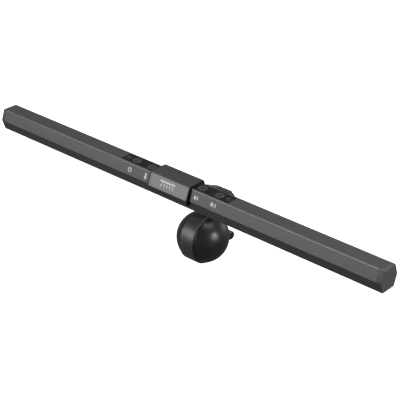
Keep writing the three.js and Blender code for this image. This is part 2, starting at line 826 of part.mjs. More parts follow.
function makeLamp() {
  const lamp = new THREE.Group();
  lamp.position.set(0, barY, barZ);
  lamp.add(
    part('housing', makeHousing(), gunmetal),
    part('end_cap_left', makeEndCap(-1), gunmetal),
    part('end_cap_right', makeEndCap(1), gunmetal),
    part('diffuser', makeDiffuser(), { color: 0xf2f1ec, roughness: 0.5, metalness: 0 }),
    part('reflector', makeReflector(), { color: 0xfafafa, roughness: 0.35, metalness: 0 }),
    part('led_board', makeLedBoard(), { color: 0xe8e6dc, roughness: 0.6, metalness: 0.1 }),
    part('control_board', makeControlBoard(), { color: 0x1d4d36, roughness: 0.5, metalness: 0 }),
    part('usb_socket', makeSocket(), steel),
    part('sleeve', makeSleeve(), darkPlastic),
    part('face_plate', makeFacePlate(), { color: 0x868386, roughness: 0.4, metalness: 0.9 }),
    part('saddle', makeSaddle(), darkPlastic),
    part('saddle_screw_left', makeSaddleScrew(-saddleScrew.place), steel),
    part('saddle_screw_right', makeSaddleScrew(saddleScrew.place), steel),
    part('tilt_bolt', makeTiltBolt(), steel),
    part('tilt_nut', makeTiltNut(), steel),
    part('friction_washer_left', makeWasher(-1), { color: 0xd8d8d4, roughness: 0.5, metalness: 0 }),
    part('friction_washer_right', makeWasher(1), { color: 0xd8d8d4, roughness: 0.5, metalness: 0 }),
    part('key_panel_left', makePanel(-1), glossBlack),
    part('key_panel_right', makePanel(1), glossBlack),
  );
  const keyNames = ['key_warmth', 'key_power', 'key_tint', 'key_brightness'];
  const [inner, outer] = keyPlaces;
  [-inner, -outer, inner, outer].forEach((x, index) => {
    const key = part(keyNames[index], makeKey(), { color: 0x1c1c1f, roughness: 0.3, metalness: 0 });
    key.position.x = x;
    lamp.add(key);
  });
  ['indicator_window', 'sensor_window'].forEach((name, index) => {
    const lens = part(name, makeWindow(), { color: 0x2a2a30, roughness: 0.1, metalness: 0 });
    lens.position.x = windowPlace * (index === 0 ? -1 : 1);
    lamp.add(lens);
  });
  return lamp;
}

function makeClip() {
  const clip = new THREE.Group();
  clip.add(
    part('clip_body', makeClipBody(), glossBlack),
    part('seat_pad', makeSeatPad(), rubber),
    part('lip_pad', makeLipPad(), rubber),
    part('hinge_pin', makeHingePin(), steel),
    part('torsion_spring', makeSpring(), steel),
    part('arm', makeArm(), glossBlack),
  );
  return clip;
}

function makeBall() {
  const ball = new THREE.Group();
  ball.position.set(0, ballY, ballZ);
  ball.add(
    part('ball_belt', makeBelt(), glossBlack),
    part('ball_cap_left', makeBallCap(-1), glossBlack),
    part('ball_cap_right', makeBallCap(1), glossBlack),
    part('ball_weight', makeWeight(), steel),
  );
  return ball;
}

const lightBar = new THREE.Group();
lightBar.add(makeLamp(), makeClip(), makeBall());

export default lightBar;
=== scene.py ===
from math import acos, atan2, cos, hypot, pi, radians, sin

import bmesh
import bpy
from mathutils import Matrix, Vector


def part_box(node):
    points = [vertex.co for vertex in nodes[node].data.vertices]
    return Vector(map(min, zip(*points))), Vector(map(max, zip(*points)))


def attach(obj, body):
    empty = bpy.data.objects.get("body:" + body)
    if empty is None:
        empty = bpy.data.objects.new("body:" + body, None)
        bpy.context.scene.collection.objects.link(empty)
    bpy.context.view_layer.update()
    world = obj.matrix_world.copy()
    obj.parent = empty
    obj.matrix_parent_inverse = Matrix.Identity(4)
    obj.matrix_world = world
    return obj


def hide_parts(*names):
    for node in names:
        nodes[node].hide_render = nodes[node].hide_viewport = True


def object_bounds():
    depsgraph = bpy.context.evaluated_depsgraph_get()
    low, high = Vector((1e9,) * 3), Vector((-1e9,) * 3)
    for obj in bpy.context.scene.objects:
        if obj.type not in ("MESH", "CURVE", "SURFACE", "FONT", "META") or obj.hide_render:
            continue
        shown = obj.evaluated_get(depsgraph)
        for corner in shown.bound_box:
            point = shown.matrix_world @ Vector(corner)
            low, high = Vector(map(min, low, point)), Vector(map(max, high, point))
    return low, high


# Monitor light bar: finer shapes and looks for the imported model, built in the model's own frame.
# Metres throughout. +X runs along the bar, +Y points behind the screen, +Z is up.
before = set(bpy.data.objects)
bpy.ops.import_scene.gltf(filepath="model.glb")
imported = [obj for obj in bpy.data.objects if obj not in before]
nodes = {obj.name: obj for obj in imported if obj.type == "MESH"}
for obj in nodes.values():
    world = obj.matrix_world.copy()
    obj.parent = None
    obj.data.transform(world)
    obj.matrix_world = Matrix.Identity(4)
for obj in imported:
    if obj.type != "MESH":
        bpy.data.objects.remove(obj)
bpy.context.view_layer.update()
mm = 0.001
past = 1 * mm  # how far a cutter reaches past the surface that it cuts


class Reading:
    # a socket that can stand in a Python sum
    def __init__(self, tree, socket):
        self.tree = tree
        self.socket = socket

    def work(self, operation, *terms):
        return self.tree.add("ShaderNodeMath", {"operation": operation}, dict(enumerate(terms)))

    def __add__(self, other):
        return self.work("ADD", self, other)

    def __radd__(self, other):
        return self.work("ADD", other, self)

    def __sub__(self, other):
        return self.work("SUBTRACT", self, other)

    def __rsub__(self, other):
        return self.work("SUBTRACT", other, self)

    def __mul__(self, other):
        return self.work("MULTIPLY", self, other)

    def __rmul__(self, other):
        return self.work("MULTIPLY", other, self)

    def __truediv__(self, other):
        return self.work("DIVIDE", self, other)

    def __rtruediv__(self, other):
        return self.work("DIVIDE", other, self)

    def __lt__(self, other):
        return self.work("LESS_THAN", self, other)

    def __gt__(self, other):
        return self.work("GREATER_THAN", self, other)

    def __abs__(self):
        return self.work("ABSOLUTE", self)

    def limited(self):
        return self.tree.add("ShaderNodeClamp", {}, {"Value": self})

    def between(self, low, high):
        # 0 below low, 1 above high, smooth in the middle
        return self.tree.add("ShaderNodeMapRange", {"interpolation_type": "SMOOTHSTEP"},
                             {"Value": self, "From Min": low, "From Max": high})


class Tree:
    # one node tree, shader or geometry
    def __init__(self, tree):
        self.tree = tree

    def add(self, kind, settings=None, values=None, out=0):
        node = self.tree.nodes.new(kind)
        for name, setting in (settings or {}).items():
            if name == "stops":
                while len(node.color_ramp.elements) < len(setting):
                    node.color_ramp.elements.new(1)
                for stop, (place, colour) in zip(node.color_ramp.elements, setting):
                    stop.position = place
                    stop.color = colour
            else:
                setattr(node, name, setting)
        for name, value in (values or {}).items():
            socket = node.inputs[name]
            for entry in value if isinstance(value, list) else [value]:
                if isinstance(entry, Reading):
                    self.tree.links.new(entry.socket, socket)
                else:
                    socket.default_value = entry
        return Reading(self, node.outputs[out])


class Look(Tree):
    # a material with its Principled shader
    def __init__(self, name, **constants):
        self.material = bpy.data.materials.new(name)
        self.material.use_nodes = True
        super().__init__(self.material.node_tree)
        self.shader = self.tree.nodes["Principled BSDF"]
        for name, value in constants.items():
            self.shader.inputs[socketNames[name]].default_value = value
        self.place = self.add("ShaderNodeTexCoord", out="Object")

    def feed(self, name, reading):
        self.tree.links.new(reading.socket, self.shader.inputs[socketNames[name]])

    def noise(self, size, detail=2.0, stretch=None, rough=0.5):
        # soft noise with spots about `size` metres across, drawn out along X by `stretch`
        vector = self.place
        if stretch:
            vector = self.add("ShaderNodeMapping", {}, {"Vector": vector, "Scale": (1 / stretch, 1, 1)})
        return self.add("ShaderNodeTexNoise", {},
                        {"Vector": vector, "Scale": 1 / size, "Detail": detail, "Roughness": rough})

    def mixed(self, factor, first, second):
        return self.add("ShaderNodeMix", {"data_type": "RGBA"}, {0: factor, 6: first, 7: second}, out=2)

    def attribute(self, name):
        return self.add("ShaderNodeAttribute", {"attribute_name": name}, out="Fac")

    def bump(self, height, depth, strength=1.0):
        self.feed("normal", self.add("ShaderNodeBump", {}, {
            "Height": height, "Distance": depth, "Strength": strength}, out="Normal"))


socketNames = {
    "colour": "Base Color", "roughness": "Roughness", "metallic": "Metallic", "normal": "Normal",
    "coat": "Coat Weight", "coatRoughness": "Coat Roughness", "shine": "Specular IOR Level",
    "ior": "IOR", "glow": "Emission Strength", "glowColour": "Emission Color",
}


def grey(level, warm=0.0, lift=1.0, rose=0.0):
    return (level * (1 + rose + warm) * lift, level * lift, level * (1 + rose - warm) * lift, 1)


def anodised(name, level, warm, edge, roughness, streak=0.12, metallic=0.45, rose=0.0):
    # extruded and blasted aluminium: faint drawing lines, fine grain, edges lighter from rubbing and from a
    # painted highlight
    look = Look(name, metallic=metallic, shine=0.5)
    lines = look.noise(0.35 * mm, 3, stretch=160)
    cloud = look.noise(9 * mm, 3)
    grain = look.noise(0.12 * mm, 2)
    colour = look.mixed(lines * streak + cloud * 0.25,
                        grey(level, warm, 0.9, rose), grey(level, warm, 1.16, rose))
    rubAndHighlight = look.attribute("wear") * (0.55 + 0.45 * look.noise(1.6 * mm, 4))
    # marked edge strips take the lighter edge colour: partly rubbing, partly a painted highlight along the
    # rounded edges
    look.feed("colour", look.mixed(rubAndHighlight.limited(), colour, grey(edge, warm * 0.6)))
    look.feed("roughness", roughness + (grain - 0.5) * 0.16 + (cloud - 0.5) * 0.1 - rubAndHighlight * 0.08)
    look.bump(grain * 0.7 + lines * 0.5, 0.02 * mm, 0.5)
    return look.material


def brushed(name, level, warm, roughness, metallic=0.7):
    # plate brushed along the bar
    look = Look(name, metallic=metallic, shine=0.5)
    hair = look.noise(0.06 * mm, 4, stretch=220, rough=0.7)
    broad = look.noise(0.5 * mm, 2, stretch=60)
    rubAndHighlight = look.attribute("wear")
    colour = look.mixed(hair * 0.6 + broad * 0.4, grey(level, warm, 0.8), grey(level, warm, 1.2))
    look.feed("colour", look.mixed(rubAndHighlight * 0.7, colour, grey(level, warm, 1.5)))
    look.feed("roughness", roughness + (hair - 0.5) * 0.22)
    look.bump(hair, 0.015 * mm, 0.6)
    return look.material


def moulded(name, level, warm, roughness, texture=0.3, edge=1.6, shine=0.5, coat=0.0):
    # moulded plastic: spark-eroded texture, slight flow marks, edges polished by handling
    look = Look(name, shine=shine, coat=coat, coatRoughness=0.12)
    skin = look.add("ShaderNodeTexVoronoi", {"feature": "SMOOTH_F1"},
                    {"Vector": look.place, "Scale": 1 / (texture * mm)})
    flow = look.noise(14 * mm, 3)
    fine = look.noise(texture * 0.5 * mm, 2)
    rubAndHighlight = look.attribute("wear") * (0.4 + 0.6 * look.noise(1.1 * mm, 4))
    colour = look.mixed(flow * 0.7 + fine * 0.3, grey(level, warm, 0.82), grey(level, warm, 1.18))
    look.feed("colour", look.mixed(rubAndHighlight.limited(), colour, grey(level * edge, warm)))
    look.feed("roughness", roughness + (fine - 0.5) * 0.14 + (flow - 0.5) * 0.1 - rubAndHighlight * 0.1)
    look.bump(skin * 0.8 + fine * 0.4, 0.03 * mm, 0.35)
    return look.material


def glossy(name, level, warm, roughness, smudge=0.14, coat=0.25, shine=0.5, edge=1.8):
    # polished plastic: nearly flat, with hazy smudges and hairline scratches in its gloss
    look = Look(name, shine=shine, coat=coat, coatRoughness=0.08)
    haze = look.noise(7 * mm, 4)
    hairs = look.add("ShaderNodeTexVoronoi", {"feature": "DISTANCE_TO_EDGE"},
                     {"Vector": look.place, "Scale": 1 / (5 * mm)})
    scratch = 1 - hairs.between(0.0, 0.006)
    wave = look.noise(3 * mm, 1)
    rubAndHighlight = look.attribute("wear")
    colour = look.mixed(haze, grey(level, warm, 0.85), grey(level, warm, 1.2))
    # marked faces take a lighter edge colour: rubbing, and with a large edge factor a painted highlight
    look.feed("colour", look.mixed(rubAndHighlight * 0.6, colour, grey(level * edge, warm)))
    look.feed("roughness", roughness + haze.between(0.45, 0.75) * smudge + scratch * 0.06)
    look.bump(wave, 0.008 * mm, 0.4)
    return look.material


def rubber(name, level):
    look = Look(name, shine=0.3)
    pores = look.noise(0.25 * mm, 3)
    dust = look.noise(4 * mm, 4)
    look.feed("colour", look.mixed(dust.between(0.45, 0.8), grey(level), grey(level * 2.2, 0.03)))
    look.feed("roughness", 0.78 + (pores - 0.5) * 0.2)
    look.bump(pores, 0.04 * mm, 0.6)
    return look.material


def steel(name, level, warm, roughness, lathed=False):
    # zinc-plated or drawn steel, with turning marks or a drawn grain
    look = Look(name, metallic=1.0)
    marks = look.noise(0.08 * mm, 3, stretch=0.02 if lathed else 12)
    spots = look.noise(1.2 * mm, 4)
    look.feed("colour", look.mixed(spots.between(0.4, 0.75), grey(level, warm, 0.85), grey(level, warm, 1.1)))
    look.feed("roughness", roughness + (marks - 0.5) * 0.25 + spots * 0.1)
    look.bump(marks, 0.01 * mm, 0.5)
    return look.material


def castIron(name):
    look = Look(name, metallic=0.7)
    sand = look.noise(0.5 * mm, 5, rough=0.7)
    rust = look.noise(3 * mm, 4)
    look.feed("colour", look.mixed(rust.between(0.5, 0.72), grey(0.09), (0.12, 0.07, 0.045, 1)))
    look.feed("roughness", 0.6 + (sand - 0.5) * 0.3)
    look.bump(sand, 0.15 * mm, 0.7)
    return look.material


def frosted(name):
    # opal plastic with a fine frosting
    look = Look(name, shine=0.5, ior=1.49)
    frost = look.noise(0.1 * mm, 2)
    tone = look.noise(30 * mm, 2)
    look.feed("colour", look.mixed(tone, (0.86, 0.85, 0.82, 1), (0.93, 0.93, 0.91, 1)))
    look.feed("roughness", 0.42 + frost * 0.16)
    look.bump(frost, 0.02 * mm, 0.5)
    return look.material


def whitePlastic(name, tint=(0.85, 0.85, 0.84, 1), roughness=0.35):
    look = Look(name, shine=0.5)
    fine = look.noise(0.2 * mm, 2)
    tone = look.noise(12 * mm, 3)
    shade = tuple(channel * 0.92 for channel in tint[:3]) + (1,)
    look.feed("colour", look.mixed(tone, shade, tint))
    look.feed("roughness", roughness + (fine - 0.5) * 0.12)
    look.bump(fine, 0.02 * mm, 0.4)
    return look.material


def circuitBoard(name, mask=(0.02, 0.09, 0.05, 1)):
    # solder mask with tracks showing through as slightly lighter lines
    look = Look(name, shine=0.5, coat=0.3, coatRoughness=0.2)
    tracks = look.add("ShaderNodeTexBrick", {"offset": 0.5},
                      {"Vector": look.place, "Scale": 1 / (6 * mm), "Mortar Size": 0.03}, out="Fac")
    weave = look.noise(0.4 * mm, 2)
    track = (mask[0] * 2.2, mask[1] * 2, mask[2] * 2, 1)
    look.feed("colour", look.mixed(tracks * 0.6 + weave * 0.2, mask, track))
    look.feed("roughness", 0.36 + (weave - 0.5) * 0.15)
    look.bump(tracks + weave * 0.3, 0.02 * mm, 0.5)
    return look.material


def printed(name, level):
    # white pad print, thin and slightly broken at its surface
    look = Look(name, shine=0.4)
    speck = look.noise(0.15 * mm, 3)
    look.feed("colour", look.mixed(speck.between(0.3, 0.6), grey(level * 0.82), grey(level)))
    look.feed("roughness", 0.5 + (speck - 0.5) * 0.2)
    look.bump(speck, 0.01 * mm, 0.4)
    return look.material


looks = {
    # edge levels well above the body level paint a highlight along the rounded edges, besides rubbing
    "barMetal": anodised("barMetal", 0.095, 0.012, 0.22, 0.4, rose=0.03, streak=0.2),
    "capMetal": anodised("capMetal", 0.078, -0.02, 0.15, 0.46, streak=0.04, metallic=0.2),
    "sleevePlastic": moulded("sleevePlastic", 0.041, -0.06, 0.42, texture=0.25),
    "sleeveEnd": moulded("sleeveEnd", 0.003, 0, 0.7, texture=0.25, shine=0.1),
    "brushedPlate": brushed("brushedPlate", 0.155, 0.01, 0.38, metallic=0.5),
    "bracketPlastic": moulded("bracketPlastic", 0.03, 0, 0.5, texture=0.4),
    "panelGloss": glossy("panelGloss", 0.011, 0, 0.2, coat=0.0, shine=0.25),
    "keyFace": glossy("keyFace", 0.032, -0.02, 0.34, coat=0.0, shine=0.35),
    "keyRim": moulded("keyRim", 0.06, -0.03, 0.34, texture=0.2),
    "windowSmoke": glossy("windowSmoke", 0.02, -0.1, 0.14),
    # edge factor 7 paints a bright highlight on the marked edges of the clip and arm and on the clip's tray
    # walls
    "clipGloss": glossy("clipGloss", 0.018, -0.06, 0.26, smudge=0.05, coat=0.15, edge=7),
    "ballGloss": glossy("ballGloss", 0.012, 0, 0.33, coat=0.0, shine=0.45),
    "beltGloss": glossy("beltGloss", 0.036, 0, 0.38, coat=0.0, shine=0.8),
    "padRubber": rubber("padRubber", 0.014),
    "platedSteel": steel("platedSteel", 0.55, 0.01, 0.3),
    "turnedSteel": steel("turnedSteel", 0.5, 0, 0.28, lathed=True),
    "springWire": steel("springWire", 0.42, 0.02, 0.32),
    "weightIron": castIron("weightIron"),
    "opalLens": frosted("opalLens"),
    "reflectorWhite": whitePlastic("reflectorWhite"),
    "nylon": whitePlastic("nylon", (0.62, 0.6, 0.54, 1), 0.45),
    "boardGreen": circuitBoard("boardGreen"),
    "boardWhite": circuitBoard("boardWhite", (0.4, 0.4, 0.38, 1)),
    "ledPhosphor": whitePlastic("ledPhosphor", (0.75, 0.62, 0.14, 1), 0.3),
    "printWhite": printed("printWhite", 0.88),
}
print("finishes made:", len(looks))


def rounded(corners, steps=4):
    # polygon corners (a, b, radius) with each corner turned into an arc
    points = []
    for index, (a, b, radius) in enumerate(corners):
        corner = Vector((a, b))
        before = (Vector(corners[index - 1][:2]) - corner).normalized()
        after = (Vector(corners[(index + 1) % len(corners)][:2]) - corner).normalized()
        if radius <= 0:
            points.append(corner)
            continue
        half = before.angle(after) / 2
        centre = corner + (before + after).normalized() * (radius / sin(half))
        reach = radius * cos(half) / sin(half)
        first = corner + before * reach - centre
        last = corner + after * reach - centre
        start = atan2(first.y, first.x)
        sweep = (atan2(last.y, last.x) - start + pi) % (2 * pi) - pi
        points += [centre + radius * Vector((cos(start + sweep * step / steps),
                                             sin(start + sweep * step / steps)))
                   for step in range(steps + 1)]
    return points


def arc(radius, start, end, steps):
    # (radius, along) points of a turned profile, angles from the turning axis
    return [(radius * sin(start + (end - start) * step / steps),
             radius * cos(start + (end - start) * step / steps)) for step in range(steps + 1)]


def skinned(outlines):
    # a skin over outlines with equal numbers of points, closed at both ends
    bm = bmesh.new()
    rings = [[bm.verts.new(point) for point in outline] for outline in outlines]
    for first, second in zip(rings, rings[1:]):
        for step in range(len(first)):
            after = (step + 1) % len(first)
            bm.faces.new((first[step], first[after], second[after], second[step]))
    bm.faces.new(rings[0])
    bm.faces.new(rings[-1])
    return bm


def loft(outline, stations, about=(0, 0)):
    # carries a (y, z) outline along X through stations (x, scale)
    return skinned([[(x, about[0] + (p[0] - about[0]) * scale, about[1] + (p[1] - about[1]) * scale)
                     for p in outline] for x, scale in stations])


def slab(outline, low, high, matrix=None):
    # a flat (x, y) outline raised along Z from low to high
    bm = skinned([[(p[0], p[1], z) for p in outline] for z in (low, high)])
    if matrix:
        bm.transform(matrix)
    return bm


def fourCorners(x0, x1, y0, y1):
    return [(x0, y0), (x1, y0), (x1, y1), (x0, y1)]


def turned(profile, steps, closed=False):
    # a profile of (radius, along) points turned about X
    bm = bmesh.new()
    rings = []
    for radius, along in profile:
        count = 1 if radius < 1e-7 else steps
        rings.append([bm.verts.new((along, radius * cos(2 * pi * step / steps),
                                    radius * sin(2 * pi * step / steps))) for step in range(count)])
    pairs = list(zip(rings, rings[1:]))
    if closed:
        pairs.append((rings[-1], rings[0]))
    for first, second in pairs:
        for step in range(steps):
            after = step + 1
            corners = [first[step % len(first)], first[after % len(first)],
                       second[after % len(second)], second[step % len(second)]]
            unique = list(dict.fromkeys(corners))
            if len(unique) > 2:
                bm.faces.new(unique)
    return bm


def roundBar(radius, low, high, steps):
    # a plain rod along X
    return turned([(0, low), (radius, low), (radius, high), (0, high)], steps)


def middle(name):
    return [(low + high) / 2 for low, high in zip(*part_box(name))]


def objectFrom(bm, name):
    bmesh.ops.recalc_face_normals(bm, faces=bm.faces)
    mesh = bpy.data.meshes.new(name)
    bm.to_mesh(mesh)
    bm.free()
    thing = bpy.data.objects.new(name, mesh)
    bpy.context.scene.collection.objects.link(thing)
    return thing


def moved(bm, x=0.0, y=0.0, z=0.0):
    bm.transform(Matrix.Translation((x, y, z)))
    return bm


def applied(thing):
    # turns the modifiers' result into the object's own mesh
    graph = bpy.context.evaluated_depsgraph_get()
    mesh = bpy.data.meshes.new_from_object(thing.evaluated_get(graph))
    thing.modifiers.clear()
    thing.data = mesh
    return thing


def combined(thing, operation, shapes):
    for bm in shapes:
        other = objectFrom(bm, "other")
        modifier = thing.modifiers.new("combine", "BOOLEAN")
        modifier.object = other
        modifier.operation = operation
        modifier.solver = "EXACT"
        applied(thing)
        bpy.data.objects.remove(other)
    return thing


def cutAway(thing, *shapes):
    return combined(thing, "DIFFERENCE", shapes)


def joined(thing, *shapes):
    return combined(thing, "UNION", shapes)


def soften(thing, width, angle=28, segments=2):
    # rounds the sharp edges, smooths the shading and marks the rounded strips for the lighter edge colour,
    # which is rubbing plus a painted highlight
    clean = bmesh.new()
    clean.from_mesh(thing.data)
    bmesh.ops.remove_doubles(clean, verts=clean.verts, dist=0.004 * mm)
    bmesh.ops.dissolve_limit(clean, angle_limit=radians(0.6), verts=clean.verts, edges=clean.edges)
    clean.to_mesh(thing.data)
    clean.free()
    thing.data.materials.clear()
    thing.data.materials.append(None)
    thing.data.materials.append(None)
    thing.data.shade_smooth()
    modifier = thing.modifiers.new("soften", "BEVEL")
    modifier.width = width
    modifier.segments = segments
    modifier.limit_method = "ANGLE"
    modifier.angle_limit = radians(angle)
    modifier.use_clamp_overlap = True
    modifier.harden_normals = True
    modifier.material = 1
    applied(thing)
    mesh = thing.data
    mark(mesh, [float(face.material_index == 1) for face in mesh.polygons])
    mesh.polygons.foreach_set("material_index", [0] * len(mesh.polygons))
    return thing


def smoothed(thing, angle):
    thing.data.shade_smooth()
    thing.data.set_sharp_from_angle(angle=radians(angle))


def evened(thing):
    # smooth shading over narrow strips while wide faces stay flat
    smoothed(thing, 30)
    modifier = thing.modifiers.new("even", "WEIGHTED_NORMAL")
    modifier.weight = 100
    modifier.keep_sharp = True
    return applied(thing)


def mark(mesh, values=None):
    # how much each face takes the lighter edge colour, rubbing plus painted highlight, 0 to 1
    wear = mesh.attributes.new("wear", "FLOAT", "FACE")
    if values:
        wear.data.foreach_set("value", values)


def dress(thing, node, body, materials, choose=None):
    # finishes, the body that it rides on and the node that it stands for
    thing.data.materials.clear()
    for material in materials:
        thing.data.materials.append(looks[material])
    if choose:
        for face in thing.data.polygons:
            face.material_index = choose(face)
    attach(thing, body)
    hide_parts(node)
    return thing


class Shape(Tree):
    # a geometry node group with named inputs
    def __init__(self, name, **inputs):
        super().__init__(bpy.data.node_groups.new(name, "GeometryNodeTree"))
        for inputName, kind in inputs.items():
            self.tree.interface.new_socket(inputName, in_out="INPUT", socket_type="NodeSocket" + kind)
        self.tree.interface.new_socket("Geometry", in_out="OUTPUT", socket_type="NodeSocketGeometry")
        self.entry = self.tree.nodes.new("NodeGroupInput")

    def given(self, name):
        return Reading(self, self.entry.outputs[name])

    def vector(self, x=0.0, y=0.0, z=0.0):
        return self.add("ShaderNodeCombineXYZ", {}, {"X": x, "Y": y, "Z": z})

    def part(self, vector, axis):
        return self.add("ShaderNodeSeparateXYZ", {}, {0: vector}, out=axis)

    def cube(self, size):
        return self.add("GeometryNodeMeshCube", {}, {"Size": size})

    def placed(self, geometry, **where):
        return self.add("GeometryNodeTransform", {}, {"Geometry": geometry, **where})

    def painted(self, geometry, material):
        return self.add("GeometryNodeSetMaterial", {}, {
            "Geometry": self.add("GeometryNodeRealizeInstances", {}, {"Geometry": geometry}),
            "Material": self.given(material)})

    def finish(self, geometry):
        result = self.tree.nodes.new("NodeGroupOutput")
        self.tree.links.new(geometry.socket, result.inputs[0])
        return self.tree


def grown(name, group, **values):
    # runs a geometry node group and keeps its result as a plain mesh
    thing = bpy.data.objects.new(name, bpy.data.meshes.new(name))
    bpy.context.scene.collection.objects.link(thing)
    modifier = thing.modifiers.new("grow", "NODES")
    modifier.node_group = group
    for item in group.interface.items_tree:
        if item.in_out == "INPUT" and item.name in values:
            modifier[item.identifier] = values[item.name]
    return applied(thing)


# camera, light and floor
view = {
    "eye": (0.676, -0.777, 0.5555), "right": (0.736, 0.677, 0.0), "up": (-0.316, 0.343, 0.885),
    "lens": 114.6, "shift": (0.0568, -0.0322),
}


def setCamera():
    data = bpy.data.cameras.new("camera")
    data.lens = view["lens"]
    data.sensor_width = 36
    data.shift_x, data.shift_y = view["shift"]
    data.clip_start = 0.05
    camera = bpy.data.objects.new("camera", data)
    right = Vector(view["right"]).normalized()
    back = right.cross(Vector(view["up"])).normalized()
    up = back.cross(right)
    turn = Matrix((right, up, back)).transposed().to_4x4()
    camera.matrix_world = Matrix.Translation(view["eye"]) @ turn
    bpy.context.scene.collection.objects.link(camera)
    bpy.context.scene.camera = camera


lights = {
    # name: (direction from the origin, distance, width, height, watts)
    "front": ((-0.5, -0.82, 0.34), 3.2, 2.1, 1.6, 45.5),
    "top": ((0.1, 0.15, 1.0), 1.5, 1.5, 1.5, 20.0),
    "side": ((0.94, 0.1, 0.3), 1.3, 0.26, 0.26, 9.2),
    "back": ((0.25, 0.96, 0.12), 2.2, 1.4, 0.7, 5.0),
}


studio = {"below": 0.15, "level": 0.3, "above": 0.05}  # brightness of the room all round


def setLights():
    for name, (direction, distance, width, height, watts) in lights.items():
        data = bpy.data.lights.new(name, "AREA")
        data.shape = "RECTANGLE"
        data.size, data.size_y = width, height
        data.energy = watts
        lamp = bpy.data.objects.new(name, data)
        away = Vector(direction).normalized()
        turn = away.to_track_quat("Z", "Y").to_matrix().to_4x4()
        lamp.matrix_world = Matrix.Translation(away * distance) @ turn
        bpy.context.scene.collection.objects.link(lamp)
    world = bpy.data.worlds.new("studio")
    world.use_nodes = True
    sky = Tree(world.node_tree)
    toward = sky.add("ShaderNodeTexCoord", out="Generated")
    height = sky.add("ShaderNodeSeparateXYZ", {}, {0: toward}, out="Z")
    stops = [(0.3, grey(studio["below"])), (0.52, grey(studio["level"])), (0.9, grey(studio["above"]))]
    ramp = sky.add("ShaderNodeValToRGB", {"stops": stops}, {"Fac": height * 0.5 + 0.5})
    world.node_tree.links.new(ramp.socket, world.node_tree.nodes["Background"].inputs["Color"])
    bpy.context.scene.world = world
    bpy.context.scene.view_settings.view_transform = "Standard"


ground = {"half": 4.0, "thickness": 10 * mm, "drop": 50 * mm, "glow": 0.75}


def setFloor():
    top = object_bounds()[0][2] - ground["drop"]  # low enough for the ball to fold down
    half = ground["half"]
    look = Look("floorPaint", shine=0.2, glow=ground["glow"])
    speck = look.noise(6 * mm, 3)
    look.feed("colour", look.mixed(speck, (0.9, 0.9, 0.9, 1), (0.94, 0.94, 0.94, 1)))
    look.feed("roughness", 0.8 + speck * 0.1)
    look.feed("glowColour", look.mixed(speck, (0.97, 0.97, 0.97, 1), (1, 1, 1, 1)))
    floor = objectFrom(slab(fourCorners(-half, half, -half, half), top - ground["thickness"], top), "floor")
    floor.data.materials.append(look.material)
    floor.visible_diffuse = False  # the floor shows and takes shadows, but throws no light up
    floor.visible_glossy = False


setCamera()
setLights()
setFloor()
print("camera, lights and floor set")

# bar: a six-sided tube with a slot for the light, rooms for the key panels and a socket hole
bar = {
    "depth": 22.7 * mm, "top width": 15.5 * mm, "edge radius": 0.75 * mm, "edge steps": 5,
    "wall": 1.8 * mm, "outlet": 10.4 * mm, "panel start": 24.7 * mm, "panel end": 64.1 * mm,
    "panel width": 12.4 * mm, "panel corner": 1.6 * mm, "panel depth": 1.3 * mm,
}
housingLow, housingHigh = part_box("housing")
barY, barZ = middle("housing")[1:]
barTop = (housingHigh.z - housingLow.z) / 2
barTip = bar["depth"] / 2
barFlat = bar["top width"] / 2
slopeLength = hypot(barTip - barFlat, barTop)
facetOut = (barTop / slopeLength, (barTip - barFlat) / slopeLength)  # outward (y, z) of an upper side facet


def hexagon(offset):
    # half height, half flat and half width of the section moved out by offset
    top = barTop + offset
    tip = barTip + offset / facetOut[0]
    return top, tip - top * facetOut[1] / facetOut[0], tip


def hexagonOutline(offset, radius, steps=4):
    top, flat, tip = hexagon(offset)
    corners = [(flat, -top), (tip, 0), (flat, top), (-flat, top), (-tip, 0), (-flat, -top)]
    return rounded([(barY + y, barZ + z, radius) for y, z in corners], steps)


def hexagonTube(shape, depth, height, top, radius, steps, low, high):
    # a six-sided bar along X about the origin
    ring = shape.add("GeometryNodeCurvePrimitiveCircle", {}, {"Resolution": 6, "Radius": 1.0})
    spot = shape.add("GeometryNodeInputPosition")
    across, upward = shape.part(spot, "X"), shape.part(spot, "Y")
    sign = across.work("SIGN", across)
    wide = (depth - top) * across + (top - depth * 0.5) * sign
    tall = upward * (height / (2 * sin(pi / 3)))
    section = shape.add("GeometryNodeSetPosition", {}, {
        "Geometry": ring, "Position": shape.vector(tall, wide)})
    if radius is not None:
        section = shape.add("GeometryNodeFilletCurve", {"mode": "POLY"},
                            {"Curve": section, "Count": steps, "Radius": radius})
    line = shape.add("GeometryNodeCurvePrimitiveLine", {}, {
        "Start": shape.vector(z=low), "End": shape.vector(z=high)})
    tube = shape.add("GeometryNodeCurveToMesh", {}, {
        "Curve": line, "Profile Curve": section, "Fill Caps": True})
    return shape.placed(tube, Rotation=(0, pi / 2, 0))


